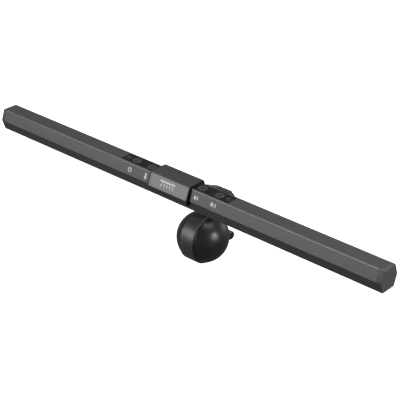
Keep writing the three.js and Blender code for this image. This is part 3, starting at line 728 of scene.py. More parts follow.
def extrudedBar():
    shape = Shape("extrudedBar", Length="Float", Depth="Float", Height="Float", Top="Float", Wall="Float",
                  Radius="Float", Steps="Int", Outlet="Float", Middle="Vector", Material="Material")
    length, depth, height, top = (shape.given(name) for name in ("Length", "Depth", "Height", "Top"))
    wall, outlet = shape.given("Wall"), shape.given("Outlet")
    outer = hexagonTube(shape, depth, height, top, shape.given("Radius"), shape.given("Steps"),
                        length * -0.5, length * 0.5)
    inner = hexagonTube(shape, depth - wall * (2 / facetOut[0]), height - wall * 2,
                        top - wall * (2 * (1 - facetOut[1]) / facetOut[0]), None, 0,
                        length * -0.52, length * 0.52)
    opening = shape.cube(shape.vector(length * 1.04, outlet, wall * 4))
    slot = shape.placed(opening, Translation=shape.vector(z=height * -0.5))
    hollow = shape.add("GeometryNodeMeshBoolean", {"operation": "DIFFERENCE", "solver": "EXACT"},
                       {"Mesh 1": outer, "Mesh 2": [inner, slot]})
    normal = shape.add("GeometryNodeInputNormal")
    nx, ny, nz = (abs(shape.part(normal, axis)) for axis in "XYZ")
    side = ny * facetOut[0] + nz * facetOut[1]
    facing = side.work("MAXIMUM", side, nz)
    # the rounded edge strips are marked for the lighter edge colour: rubbing plus a painted highlight
    edgeScuffAndHighlight = (facing < 0.998) * (nx < 0.5)
    marked = shape.add("GeometryNodeStoreNamedAttribute", {"data_type": "FLOAT", "domain": "FACE"},
                       {"Geometry": hollow, "Name": "wear", "Value": edgeScuffAndHighlight})
    return shape.finish(shape.painted(shape.placed(marked, Translation=shape.given("Middle")), "Material"))


housing = grown("housingShape", extrudedBar(), Length=housingHigh.x - housingLow.x, Depth=bar["depth"],
                Height=2 * barTop, Top=bar["top width"], Wall=bar["wall"], Radius=bar["edge radius"],
                Steps=bar["edge steps"], Outlet=bar["outlet"], Middle=(0.0, barY, barZ),
                Material=looks["barMetal"])
socketRoom = {"width": 9.8 * mm, "height": 3.9 * mm, "depth": 6.5 * mm, "above middle": 2 * mm}


def facetMatrix(upper, rear, x, along, out=0.0):
    # stands a shape's Z on a side facet: its X along the bar, its Y up the facet
    ny = facetOut[0] * (1 if rear else -1)
    nz = facetOut[1] * (1 if upper else -1)
    normal = Vector((0, ny, nz))
    rise = Vector((0, -ny * nz, 1 - nz * nz)).normalized()
    foot = Vector((x, barY + (barTip if rear else -barTip), barZ))
    if not upper:
        foot = Vector((x, barY + (barFlat if rear else -barFlat), barZ - barTop))
    sideways = rise.cross(normal)
    turn = Matrix((sideways, rise, normal)).transposed().to_4x4()
    return Matrix.Translation(foot + rise * along + normal * out) @ turn


def roundedBox(x0, x1, y0, y1, radius, steps=4):
    return rounded([(x0, y0, radius), (x1, y0, radius), (x1, y1, radius), (x0, y1, radius)], steps)


def panelRoom(direction):
    outline = roundedBox(bar["panel start"], bar["panel end"], -bar["panel width"] / 2,
                         bar["panel width"] / 2, bar["panel corner"])
    return slab([(p[0] * direction, p[1] + barY) for p in outline],
                barZ + barTop - bar["panel depth"], barZ + barTop + past)


socketX = middle("usb_socket")[0]
socketAlong = slopeLength / 2 + socketRoom["above middle"]
socketHole = slab(roundedBox(-socketRoom["width"] / 2, socketRoom["width"] / 2, -socketRoom["height"] / 2,
                             socketRoom["height"] / 2, socketRoom["height"] * 0.46),
                  -socketRoom["depth"], past, facetMatrix(True, True, socketX, socketAlong))
cutAway(housing, panelRoom(1), panelRoom(-1), socketHole)
evened(housing)
dress(housing, "housing", "lamp", ["barMetal"])

endCap = {"chamfer": 0.6 * mm, "scale": 0.97, "edge radius": 0.75 * mm, "seam": 0.12 * mm,
          "seam scale": 0.985, "dish": 0.18 * mm, "edge": 0.12 * mm}


def makeEndCap(name, direction):
    low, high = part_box(name)
    outer = max(abs(low.x), abs(high.x))
    inner = housingHigh.x
    seam, seamScale = endCap["seam"], endCap["seam scale"]
    stations = [(inner, seamScale), (inner + seam, seamScale), (inner + 2.2 * seam, 1.0),
                (outer - endCap["chamfer"], 1.0), (outer - 0.25 * endCap["chamfer"], 0.99),
                (outer, endCap["scale"]), (outer, endCap["scale"] - 0.08),
                (outer - endCap["dish"], endCap["scale"] - 0.1)]
    outline = hexagonOutline(0, endCap["edge radius"], 4)
    bm = loft(outline, [(x * direction, scale) for x, scale in stations], (barY, barZ))
    cap = objectFrom(bm, name + "Shape")
    cap.data.shade_smooth()
    soften(cap, endCap["edge"], 20)
    return dress(cap, name, "lamp", ["capMetal"])


makeEndCap("end_cap_left", -1)
makeEndCap("end_cap_right", 1)
print("housing and end caps made")

lens = {"ribs": 22, "crest": 0.03 * mm, "groove": 0.16 * mm, "flange": 1.1 * mm, "gap": 0.25 * mm,
        "edge": 0.5 * mm}


def makeLens():
    low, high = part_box("diffuser")
    half = bar["outlet"] / 2 - lens["gap"]
    flange = (high.y - low.y) / 2
    edge, ledge = lens["edge"], high.z - lens["flange"]
    crest, groove = low.z + lens["crest"], low.z + lens["groove"]
    step = 2 * (half - edge) / lens["ribs"]
    outline = [(-flange, high.z), (-flange, ledge), (-half, ledge), (-half, low.z + edge),
               (-half + edge, groove)]
    for rib in range(lens["ribs"]):
        start = -half + edge + rib * step
        outline += [(start + step * 0.3, crest), (start + step * 0.7, crest), (start + step, groove)]
    outline += [(half, low.z + edge), (half, ledge), (flange, ledge), (flange, high.z)]
    bm = loft([(barY + y, z) for y, z in outline], [(low.x, 1), (high.x, 1)])
    piece = objectFrom(bm, "lensShape")
    mark(piece.data)
    return dress(piece, "diffuser", "lamp", ["opalLens"])


makeLens()

# LED board: white board, one package and one phosphor dome for each LED
ledRow = {"count": 24, "pitch": 18 * mm, "package": (3.5 * mm, 2.8 * mm, 0.6 * mm), "dome": 0.99 * mm}


def ledStrip():
    shape = Shape("ledStrip", Board="Vector", Package="Vector", Count="Int", Pitch="Float", Dome="Float",
                  Middle="Vector", BoardLook="Material", PackageLook="Material", DomeLook="Material")
    board, package = shape.cube(shape.given("Board")), shape.cube(shape.given("Package"))
    thick, tall = (shape.part(shape.given(name), "Z") for name in ("Board", "Package"))
    count, pitch = shape.given("Count"), shape.given("Pitch")
    first = shape.vector(pitch * (count - 1) * -0.5, 0.0, (thick + tall) * -0.5)
    places = shape.add("GeometryNodeMeshLine", {}, {
        "Count": count, "Start Location": first, "Offset": shape.vector(pitch)})
    sphere = shape.add("GeometryNodeMeshUVSphere", {}, {
        "Segments": 16, "Rings": 8, "Radius": shape.given("Dome")})
    dome = shape.placed(sphere, Scale=(1.0, 1.0, 0.3), Translation=shape.vector(z=tall * -0.5))
    parts = [shape.painted(board, "BoardLook")]
    for single, look in ((package, "PackageLook"), (dome, "DomeLook")):
        row = shape.add("GeometryNodeInstanceOnPoints", {}, {"Points": places, "Instance": single})
        parts.append(shape.painted(row, look))
    both = shape.add("GeometryNodeJoinGeometry", {}, {"Geometry": parts})
    return shape.finish(shape.placed(both, Translation=shape.given("Middle")))


def makeLedBoard():
    low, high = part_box("led_board")
    package = ledRow["package"]
    thick = high.z - low.z - package[2] - 0.1 * mm
    piece = grown("ledStripShape", ledStrip(), Board=(high.x - low.x, high.y - low.y, thick), Package=package,
                  Count=ledRow["count"], Pitch=ledRow["pitch"], Dome=ledRow["dome"],
                  Middle=(0.0, barY, high.z - thick / 2), BoardLook=looks["boardWhite"],
                  PackageLook=looks["reflectorWhite"], DomeLook=looks["ledPhosphor"])
    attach(piece, "lamp")
    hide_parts("led_board")


makeLedBoard()
print("lens and LED board made")

# sleeve and face plate
sleeve = {
    "thickness": 2 * mm, "front tip": 14 * mm, "front lip": -4 * mm, "rear lip": -8.6 * mm,
    "taper": 1.3 * mm, "taper scale": 0.93, "edge": 0.175 * mm, "gap": 0.25 * mm,
    "foot step": 0.5 * mm, "lip": 4 * mm, "inner radius": 0.6 * mm,
}
facePlate = {"half": 22.4 * mm, "thickness": 0.55 * mm, "foot": 0.4 * mm, "head": 0.85 * mm,
             "edge": 0.12 * mm, "corner": 0.5 * mm, "gap": 0.1 * mm, "raised": 0.04 * mm}
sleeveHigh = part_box("sleeve")[1]
sleeveTop, sleeveFlat, sleeveTip = hexagon(sleeve["thickness"])
sleeveFoot = Vector((barY - sleeve["front tip"], barZ))
sleeveRise = Vector((barY - sleeveFlat, barZ + sleeveTop)) - sleeveFoot
sleeveSlope = sleeveRise.length
sleeveRise.normalize()
sleeveOut = Vector((-sleeveRise.y, sleeveRise.x))


def sleeveMatrix(out=0.0):
    # Z out of the sleeve's front facet, X along the bar, Y up the facet from its lower edge
    turn = Matrix(((1, 0, 0), (0, sleeveRise.x, sleeveRise.y), (0, sleeveOut.x, sleeveOut.y)))
    place = (0, sleeveFoot.x + sleeveOut.x * out, sleeveFoot.y + sleeveOut.y * out)
    return Matrix.Translation(place) @ turn.transposed().to_4x4()


def rearSide(z, offset):
    return barY + hexagon(offset)[2] - abs(z) * facetOut[1] / facetOut[0]


def plateShape(out=0.0):
    return roundedBox(-facePlate["half"] - out, facePlate["half"] + out, facePlate["foot"] - out,
                      sleeveSlope - facePlate["head"] + out, facePlate["corner"])


def makeSleeve():
    thickness, rearLip, frontLip = sleeve["thickness"], sleeve["rear lip"], sleeve["front lip"]
    end, taper = sleeveHigh.x, sleeve["taper"]
    rear = rearSide(rearLip, thickness)
    outline = [
        (sleeveFoot.x + sleeve["foot step"], barZ + frontLip), (rear - sleeve["lip"], barZ + rearLip),
        (rear, barZ + rearLip), (barY + sleeveTip, barZ),
        (barY + sleeveFlat, barZ + sleeveTop), (barY - sleeveFlat, barZ + sleeveTop),
        (sleeveFoot.x, barZ),
    ]
    scale = sleeve["taper scale"]
    stations = [(-end, scale), (-end + taper, 1), (end - taper, 1), (end, scale)]
    piece = objectFrom(loft(outline, stations, (barY, barZ)), "sleeveShape")
    inner = loft(hexagonOutline(sleeve["gap"], sleeve["inner radius"], 3),
                 [(-end - past, 1), (end + past, 1)])
    below = slab(fourCorners(-end - past, end + past, barY - barTip, rearSide(rearLip, sleeve["gap"])),
                 barZ + rearLip - 2 * mm, barZ + frontLip)
    gap = facePlate["gap"]
    room = slab(plateShape(gap), -facePlate["thickness"] - gap / 2, past, sleeveMatrix())
    cutAway(piece, inner, below, room)
    soften(piece, sleeve["edge"], 12)
    return dress(piece, "sleeve", "lamp", ["sleevePlastic", "sleeveEnd"],
                 lambda face: int(abs(face.center.x) > end - taper * 0.97))


def makeFacePlate():
    plate = slab(plateShape(), -facePlate["thickness"], facePlate["raised"], sleeveMatrix())
    piece = objectFrom(plate, "facePlateShape")
    soften(piece, facePlate["edge"])
    return dress(piece, "face_plate", "lamp", ["brushedPlate"])


makeSleeve()
makeFacePlate()
print("sleeve and face plate made")

# keys, panels and windows
keyPanel = {"hole": 4.5 * mm, "window hole": 2.32 * mm, "corner": 1.5 * mm, "edge": 0.12 * mm}
key = {"radius": 4.3 * mm, "rim": 0.95 * mm, "dish": 0.35 * mm, "groove": 0.12 * mm, "corner": 0.3 * mm,
       "stem": 1.5 * mm, "skirt": 1.35 * mm, "edge": 0.1 * mm, "steps": 72}
window = {"rim": 0.5 * mm, "step": 0.12 * mm, "glass": 0.7 * mm, "sunk": 0.3 * mm, "dome": 0.14 * mm,
          "edge": 0.1 * mm, "steps": 48}
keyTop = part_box("key_power")[1].z
panelNodes = {
    "key_panel_left": ("key_warmth", "key_power", "indicator_window"),
    "key_panel_right": ("key_tint", "key_brightness", "sensor_window"),
}


def upright(bm, name):
    # a shape made along X, stood up along Z over the node's middle
    x, y = middle(name)[:2]
    bm.transform(Matrix.Translation((x, y, 0)) @ Matrix.Rotation(-pi / 2, 4, "Y"))
    return bm


def turnedPiece(name, profile, steps):
    piece = objectFrom(upright(turned(profile, steps), name), name + "Shape")
    piece.data.shade_smooth()
    mark(piece.data)
    return piece


def makePanel(name):
    low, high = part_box(name)
    outline = roundedBox(low.x, high.x, low.y, high.y, keyPanel["corner"], 6)
    piece = objectFrom(slab(outline, low.z, high.z), name + "Shape")
    for node in panelNodes[name]:
        radius = keyPanel["window hole" if node.endswith("window") else "hole"]
        cutAway(piece, upright(roundBar(radius, low.z - past, high.z + past, 64), node))
    soften(piece, keyPanel["edge"])
    return dress(piece, name, "lamp", ["panelGloss"])


def makeKey(name):
    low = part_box(name)[0]
    radius, dish, stem, edge = key["radius"], key["dish"], key["stem"], key["edge"]
    corner, groove = key["corner"], key["groove"]
    inner = radius - key["rim"]
    skirt = keyTop - key["skirt"]
    profile = [(0, low.z), (stem - edge, low.z), (stem, low.z + edge), (stem, skirt),
               (radius - edge, skirt), (radius, skirt + edge)]
    profile += [(radius - corner + corner * cos(turn), keyTop - corner + corner * sin(turn))
                for turn in (0, pi / 8, pi / 4, 3 * pi / 8, pi / 2)]
    profile += [(inner + groove, keyTop), (inner, keyTop - edge / 2)]
    profile += [(inner * (1 - step / 8), keyTop - groove - dish * (1 - (1 - step / 8) ** 2))
                for step in range(9)]
    centre = Vector(middle(name)[:2])

    def onRim(face):
        return int((face.center.xy - centre).length > inner + 0.02 * mm and face.center.z > keyTop - 0.5 * mm)

    return dress(turnedPiece(name, profile, key["steps"]), name, name,
                 ["keyFace", "keyRim"], onRim)


def makeWindow(name):
    low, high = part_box(name)
    radius, edge, drop = (high.x - low.x) / 2, window["edge"], window["step"]
    inner, glass = radius - window["rim"], radius - window["glass"]
    profile = [(0, low.z), (radius, low.z), (radius, high.z - edge), (radius - edge, high.z),
               (inner, high.z), (inner - drop, high.z - drop)]
    profile += [(glass * (1 - step / 6), high.z - window["sunk"] + window["dome"] * (step / 6) ** 0.5)
                for step in range(7)]
    centre = Vector(middle(name)[:2])
    return dress(turnedPiece(name, profile, window["steps"]), name, "lamp",
                 ["windowSmoke", "keyRim"],
                 lambda face: int((face.center.xy - centre).length > inner - 0.05 * mm))


for panelName in panelNodes:
    makePanel(panelName)
for keyName in ("key_warmth", "key_power", "key_tint", "key_brightness"):
    makeKey(keyName)
for windowName in ("indicator_window", "sensor_window"):
    makeWindow(windowName)
print("keys, panels and windows made")

# counterweight ball and the barrel that it folds on
ball = {"radius": 24.75 * mm, "belt": 24.25 * mm, "belt half": 7.7 * mm, "cap start": 8.0 * mm,
        "wall": 2.2 * mm, "belt wall": 3.4 * mm, "seam": 0.45 * mm, "steps": 144,
        "belt corner": 0.4 * mm, "sharp": 38}
ballY, ballZ = middle("ball_cap_right")[1:]
armLow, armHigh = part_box("arm")
barrel = {"radius": 4.3 * mm, "half": armHigh.x, "chamfer": 0.9 * mm, "groove": 4.38 * mm}
barrelZ = armLow.z + barrel["radius"]
barrelY = 15.9 * mm
armThickness = 5 * mm


def barrelGroove():
    half = barrel["half"] + 0.3 * mm
    return moved(roundBar(barrel["groove"], -half, half, 64), y=barrelY, z=barrelZ)


def makeBallCap(name, direction):
    outside, start, seam = ball["radius"], ball["cap start"], ball["seam"]
    inside = outside - ball["wall"]
    rim = acos((start + seam) / outside)
    profile = arc(outside, 0, rim, 30)
    edge = outside * sin(rim)
    profile += [(edge - 0.02 * mm, start + seam * 0.55), (edge - 0.12 * mm, start + seam * 0.2),
                (edge - 0.35 * mm, start)]
    profile += arc(inside, acos(start / inside), 0, 12)
    bm = turned([(radius, along * direction) for radius, along in profile], ball["steps"])
    piece = objectFrom(moved(bm, y=ballY, z=ballZ), name + "Shape")
    cutAway(piece, barrelGroove())
    smoothed(piece, ball["sharp"])
    # faces at the seam take a lighter colour: rubbing plus a painted highlight along the seam
    mark(piece.data, [float(abs(face.center.x) < start + seam) for face in piece.data.polygons])
    return dress(piece, name, "ball", ["ballGloss"])


def makeBelt():
    outside, half = ball["belt"], ball["belt half"]
    inside = outside - ball["belt wall"]
    corner = ball["belt corner"]
    bend = [pi / 2 * step / 4 for step in range(5)]
    profile = [(inside, -half)]
    profile += [(outside - corner + corner * sin(turn), -half + corner - corner * cos(turn)) for turn in bend]
    profile += [(outside - corner + corner * cos(turn), half - corner + corner * sin(turn)) for turn in bend]
    profile += [(inside, half)]
    piece = objectFrom(moved(turned(profile, ball["steps"], closed=True), y=ballY, z=ballZ), "beltShape")
    slack = 0.5 * mm  # round the arm
    room = slab(fourCorners(-half - past, half + past, barrelY - armThickness / 2 - slack,
                            ballY + outside + 3 * mm), barrelZ - slack, ballZ + outside + past)
    cutAway(piece, barrelGroove(), room)
    smoothed(piece, ball["sharp"])
    # the belt's rounded edges take a lighter colour: rubbing plus a painted highlight along the seams
    mark(piece.data, [float(abs(face.center.x) > half - corner) for face in piece.data.polygons])
    return dress(piece, "ball_belt", "ball", ["beltGloss"])


makeBallCap("ball_cap_left", -1)
makeBallCap("ball_cap_right", 1)
makeBelt()
print("ball made")

# arm: a web from the hinge knuckle down to the barrel
arm = {"half": 7.2 * mm, "knuckle": 4.2 * mm, "bore": 1.68 * mm, "spring room": (3.4 * mm, 6 * mm),
       "slot": (5.4 * mm, 1.0 * mm, 0.9 * mm), "edge": 0.25 * mm}
hingeY = 16.5 * mm
hingeZ = armHigh.z - arm["knuckle"]


def makeArm():
    half, chamfer = arm["half"], barrel["chamfer"]
    outline = [(hingeY - armThickness / 2, hingeZ), (barrelY - armThickness / 2, barrelZ),
               (barrelY + armThickness / 2, barrelZ), (hingeY + armThickness / 2, hingeZ)]
    piece = objectFrom(loft(outline, [(-half, 1), (half, 1)]), "armShape")
    knuckle = moved(roundBar(arm["knuckle"], -half, half, 48), y=hingeY, z=hingeZ)
    end, radius = barrel["half"], barrel["radius"]
    rounding = [(radius - chamfer * 1.3, end), (radius - chamfer * 0.4, end - chamfer * 0.25),
                (radius, end - chamfer)]
    profile = [(0, -end)] + [(across, -along) for across, along in rounding] + rounding[::-1] + [(0, end)]
    joined(piece, knuckle, moved(turned(profile, 64), y=barrelY, z=barrelZ))
    room, reach = arm["spring room"]
    cutters = [slab(fourCorners(-room, room, hingeY - reach, hingeY + reach), hingeZ - reach, hingeZ + reach),
               moved(roundBar(arm["bore"], -half - past, half + past, 32), y=hingeY, z=hingeZ)]
    length, width, depth = arm["slot"]
    for side in (-1, 1):
        # a driver slot across each end of the barrel
        low, high = sorted((side * (end - depth), side * (end + past)))
        cutters.append(slab(fourCorners(low, high, barrelY - width / 2, barrelY + width / 2),
                            barrelZ - length / 2, barrelZ + length / 2))
    cutAway(piece, *cutters)
    soften(piece, arm["edge"], 30)
    return dress(piece, "arm", "arm", ["clipGloss"])


makeArm()
print("arm made")

# printed symbols on the bar's front facet and on the face plate
symbol = {"stroke": 0.8 * mm, "raised": 0.03 * mm, "sunk": 0.03 * mm, "along": 5.3 * mm}


def capsule(x0, y0, x1, y1, width, steps=5):
    lean = atan2(y1 - y0, x1 - x0)
    turns = [lean - pi / 2 + pi * step / steps for step in range(steps + 1)]
    return ([(x1 + cos(turn) * width / 2, y1 + sin(turn) * width / 2) for turn in turns] +
            [(x0 - cos(turn) * width / 2, y0 - sin(turn) * width / 2) for turn in turns])


def ringPiece(x, y, radius, width, start, end, steps=28):
    turns = [start + (end - start) * step / steps for step in range(steps + 1)]
    outer = [(x + cos(turn) * (radius + width / 2), y + sin(turn) * (radius + width / 2)) for turn in turns]
    inner = [(x + cos(turn) * (radius - width / 2), y + sin(turn) * (radius - width / 2)) for turn in turns]
    return outer + inner[::-1]


def disc(x, y, radius, steps=24):
    return [(x + cos(2 * pi * step / steps) * radius, y + sin(2 * pi * step / steps) * radius)
            for step in range(steps)]


def powerSymbol():
    stroke = symbol["stroke"]
    return [ringPiece(0, -0.2 * mm, 1.9 * mm, stroke, pi / 2 + 0.5, 5 * pi / 2 - 0.5),
            capsule(0, 0.6 * mm, 0, 2.2 * mm, stroke)]


def warmthSymbol():
    # a thermometer: a bulb with a round-topped stem
    bulb, stem = 1.4 * mm, 0.85 * mm
    reach = acos(stem / bulb)
    bottom = [(cos(turn) * bulb, sin(turn) * bulb - 1.4 * mm)
              for turn in (reach - (pi + 2 * reach) * step / 20 for step in range(21))]
    top = [(cos(turn) * stem, 2.1 * mm + sin(turn) * stem)
           for turn in (pi - pi * step / 8 for step in range(9))]
    return [bottom + top]


def dropSymbol():
    drop = [(cos(turn) * 1.3 * mm, -0.7 * mm + sin(turn) * 1.3 * mm)
            for turn in (radians(150 + 240 * step / 20) for step in range(21))]
    return [drop + [(0, 2.3 * mm)]] + levelArrows(2.7 * mm)


def sunSymbol():
    rays = [capsule(cos(turn) * 1.6 * mm, sin(turn) * 1.6 * mm, cos(turn) * 2.15 * mm, sin(turn) * 2.15 * mm,
                    0.62 * mm, 3) for turn in (2 * pi * step / 8 for step in range(8))]
    return [disc(0, 0, 1.15 * mm)] + rays + levelArrows(3.7 * mm)


def levelArrows(x):
    # up and down arrows for more and less
    wide, tall, gap = 0.95 * mm, 1.9 * mm, 0.3 * mm
    return [[(x - wide, gap), (x + wide, gap), (x, gap + tall)],
            [(x - wide, -gap), (x, -gap - tall), (x + wide, -gap)]]


def lightSymbol():
    # a plain bar with rays under it
    rays = [capsule(x * mm, 0.2 * mm, x * 1.25 * mm, -2.3 * mm, 0.9 * mm, 4) for x in (-6, -3, 0, 3, 6)]
    return [capsule(-8.2 * mm, 2.2 * mm, 8.2 * mm, 2.2 * mm, 1.5 * mm)] + rays


def printSymbol(name, outlines, matrix):
    whole = bmesh.new()
    for outline in outlines:
        single = slab(outline, -symbol["sunk"], symbol["raised"])
        mesh = bpy.data.meshes.new("single")
        single.to_mesh(mesh)
        single.free()
        whole.from_mesh(mesh)
        bpy.data.meshes.remove(mesh)
    whole.transform(matrix)
    piece = objectFrom(whole, name)
    piece.data.materials.append(looks["printWhite"])
    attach(piece, "lamp")


for symbolName, outlines, keyName, shift in (
        ("powerPrint", powerSymbol(), "key_power", 0.0), ("warmthPrint", warmthSymbol(), "key_warmth", 0.4),
        ("dropPrint", dropSymbol(), "key_tint", -0.6), ("sunPrint", sunSymbol(), "key_brightness", -0.5)):
    printSymbol(symbolName, outlines,
                facetMatrix(True, False, middle(keyName)[0] + shift * mm, symbol["along"]))
plateMiddle = Matrix.Translation((-1.5 * mm, sleeveSlope * 0.5, 0))
printSymbol("platePrint", lightSymbol(), sleeveMatrix(facePlate["raised"]) @ plateMiddle)
print("symbols printed")

# clip: top plate with a tray, neck to the tilt bolt, lip in front, two ears for the hinge pin
clip = {
    "plate half": 17.5 * mm, "front half": 15 * mm, "front": -13 * mm, "front corner": 5 * mm,
    "shoulder": 17.5 * mm, "rear": 23 * mm, "rear half": 8 * mm, "corner": 2.2 * mm, "plate": 2 * mm,
    "recess inset": 1.5 * mm, "recess depth": 0.7 * mm, "recess slope": 1.3 * mm,
    "neck front": (3.7 * mm, 1.7 * mm), "neck back": (4 * mm, 1.6 * mm), "neck foot": (-4 * mm, -7.5 * mm),
    "lip": 2.5 * mm, "lip end": -7.7 * mm, "lip corner": 0.8 * mm, "lip inset": 0.3 * mm,
    "root": (0.2 * mm, 0.5 * mm, 1 * mm),  # how far neck, lip and ears start inside the plate
    "ear": (7.6 * mm, 13 * mm),
    "ear radius": 4.4 * mm, "pin hole": 1.68 * mm, "knuckle": 4.5 * mm, "knuckle half": 7 * mm,
    "knuckle bore": 2.08 * mm, "tilt": (-22.5 * mm, 20.5 * mm), "edge": 0.3 * mm,
}
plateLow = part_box("seat_pad")[1].z
plateHigh = plateLow + clip["plate"]


def plateOutline(inset, corner):
    slant = inset * 0.4
    side, front, rear = clip["plate half"] - inset, clip["front"] + inset, clip["rear"] - inset
    frontHalf, rearHalf = clip["front half"] - slant, clip["rear half"] - slant
    lower, upper = clip["front"] + clip["front corner"] + slant, clip["shoulder"] - slant
    points = [(-frontHalf, front), (frontHalf, front), (side, lower), (side, upper), (rearHalf, rear),
              (-rearHalf, rear), (-side, upper), (-side, lower)]
    return rounded([(x, y, corner) for x, y in points], 6)


def plateRecess():
    # a shallow tray in the top plate with sloping walls
    low = plateOutline(clip["recess inset"] + clip["recess slope"], clip["corner"] * 0.8)
    high = plateOutline(clip["recess inset"], clip["corner"])
    return skinned([[(x, y, z) for x, y in outline] for outline, z in
                    ((low, plateHigh - clip["recess depth"]), (high, plateHigh), (high, plateHigh + past))])


def makeClip():
    tiltY, tiltZ = clip["tilt"]
    front, half, corner = clip["front"], clip["knuckle half"], clip["lip corner"]
    back = front + clip["lip"]
    piece = objectFrom(slab(plateOutline(0, clip["corner"]), plateLow, plateHigh), "clipShape")
    neckRoot, lipRoot, earRoot = clip["root"]
    ahead, below = clip["neck front"]
    behind, above = clip["neck back"]
    foot, shoulder = clip["neck foot"]
    neck = loft([(tiltY - ahead, tiltZ - below), (front, plateLow + neckRoot), (foot, plateLow + neckRoot),
                 (foot, plateHigh), (shoulder, plateHigh + above), (tiltY + behind, tiltZ + above)],
                [(-half, 1), (half, 1)])
    knuckle = moved(roundBar(clip["knuckle"], -half, half, 64), y=tiltY, z=tiltZ)
    lipHalf, lipTop = clip["front half"] - clip["lip inset"], plateHigh - lipRoot
    hook = loft(rounded([(back, lipTop, 0), (front, lipTop, 0), (front, clip["lip end"], corner),
                         (back, clip["lip end"], corner)]), [(-lipHalf, 1), (lipHalf, 1)])
    near, far = clip["ear"]
    radius, earFoot = clip["ear radius"], plateHigh - earRoot
    parts = [neck, knuckle, hook]
    for start, end in ((near, far), (-far, -near)):
        parts.append(loft([(hingeY - radius, earFoot), (hingeY - radius, hingeZ), (hingeY + radius, hingeZ),
                           (hingeY + radius - 1 * mm, earFoot)], [(start, 1), (end, 1)]))
        parts.append(moved(roundBar(radius, start, end, 48), y=hingeY, z=hingeZ))
    joined(piece, *parts)
    pinHole = moved(roundBar(clip["pin hole"], -far - past, far + past, 32), y=hingeY, z=hingeZ)
    tiltBore = moved(roundBar(clip["knuckle bore"], -half - past, half + past, 32), y=tiltY, z=tiltZ)
    cutAway(piece, pinHole, tiltBore, plateRecess())
    soften(piece, clip["edge"], 30, 3)
    wear = piece.data.attributes["wear"].data
    depth = clip["recess depth"]
    for face in piece.data.polygons:  # the tray's sloping walls are painted light: a painted highlight band
        if abs(face.center.z - plateHigh + depth / 2) < depth and 0.5 < face.normal.z < 0.98:
            wear[face.index].value = 1.0
    return dress(piece, "clip_body", "clip", ["clipGloss"])


makeClip()

pad = {"rib radius": 0.28 * mm, "seat ribs": 12, "lip ribs": 5}


def ribbedPad():
    # a slab with round ribs along X under it, then turned and placed
    shape = Shape("ribbedPad", Size="Vector", Count="Int", Radius="Float", Turn="Rotation", Middle="Vector",
                  Material="Material")
    size, radius, count = shape.given("Size"), shape.given("Radius"), shape.given("Count")
    long, wide, tall = (shape.part(size, axis) for axis in "XYZ")
    base = shape.placed(shape.cube(shape.vector(long, wide, tall - radius)),
                        Translation=shape.vector(z=radius * 0.5))
    rod = shape.add("GeometryNodeMeshCylinder", {}, {
        "Vertices": 16, "Radius": radius, "Depth": long - 1.2 * mm})
    rib = shape.placed(rod, Rotation=(0, pi / 2, 0))
    pitch = (wide - 1.6 * mm) / (count - 1)
    places = shape.add("GeometryNodeMeshLine", {}, {
        "Count": count, "Offset": shape.vector(0.0, pitch, 0.0),
        "Start Location": shape.vector(0.0, pitch * (count - 1) * -0.5, tall * -0.5 + radius)})
    ribs = shape.add("GeometryNodeInstanceOnPoints", {}, {"Points": places, "Instance": rib})
    both = shape.add("GeometryNodeJoinGeometry", {}, {"Geometry": [base, ribs]})
    placed = shape.placed(both, Rotation=shape.given("Turn"), Translation=shape.given("Middle"))
    return shape.finish(shape.painted(placed, "Material"))


def makePads():
    group = ribbedPad()
    for name, count, turn in (("seat_pad", pad["seat ribs"], 0.0), ("lip_pad", pad["lip ribs"], pi / 2)):
        low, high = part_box(name)
        middle = (low + high) / 2
        size = high - low
        if turn:
            size = Vector((size.x, size.z, size.y))
        piece = grown(name + "Shape", group, Size=size, Count=count, Radius=pad["rib radius"],
                      Turn=(turn, 0.0, 0.0), Middle=middle, Material=looks["padRubber"])
        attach(piece, "clip")
        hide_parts(name)


makePads()

spring = {"turns": 5.0, "radius": 2.9 * mm, "pitch": 0.95 * mm, "wire": 0.4 * mm, "leg": 4.4 * mm}


def coilSpring():
    shape = Shape("coilSpring", Turns="Float", Radius="Float", Pitch="Float", Wire="Float", Leg="Float",
                  Middle="Vector", Material="Material")
    turns, radius, pitch = shape.given("Turns"), shape.given("Radius"), shape.given("Pitch")
    wire, leg = shape.given("Wire"), shape.given("Leg")
    height = turns * pitch
    spiral = shape.add("GeometryNodeCurveSpiral", {}, {
        "Resolution": 40, "Rotations": turns, "Start Radius": radius, "End Radius": radius, "Height": height})
    coil = shape.placed(spiral, Translation=shape.vector(z=height * -0.5))
    legs = [shape.add("GeometryNodeCurvePrimitiveLine", {}, {
        "Start": shape.vector(radius, 0.0, height * end),
        "End": shape.vector(radius, leg * (2 * end), height * end)}) for end in (-0.5, 0.5)]
    section = shape.add("GeometryNodeCurvePrimitiveCircle", {}, {"Resolution": 12, "Radius": wire})
    tubes = [shape.add("GeometryNodeCurveToMesh", {}, {
        "Curve": line, "Profile Curve": section, "Fill Caps": True}) for line in [coil] + legs]
    both = shape.add("GeometryNodeJoinGeometry", {}, {"Geometry": tubes})
    smooth = shape.add("GeometryNodeSetShadeSmooth", {}, {"Geometry": both})
    placed = shape.placed(smooth, Rotation=(0, pi / 2, 0), Translation=shape.given("Middle"))
    return shape.finish(shape.painted(placed, "Material"))


def makeSpring():
    piece = grown("springShape", coilSpring(), Turns=spring["turns"], Radius=spring["radius"],
                  Pitch=spring["pitch"], Wire=spring["wire"], Leg=spring["leg"], Middle=(0.0, hingeY, hingeZ),
                  Material=looks["springWire"])
    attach(piece, "clip")
    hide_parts("torsion_spring")


makeSpring()

screw = {"head": 2.3 * mm, "rise": 1.4 * mm, "shank": 1.15 * mm, "slot": (2.4 * mm, 0.55 * mm, 0.8 * mm),
         "length": 6.8 * mm, "apart": 34 * mm, "seat": 4.85 * mm}


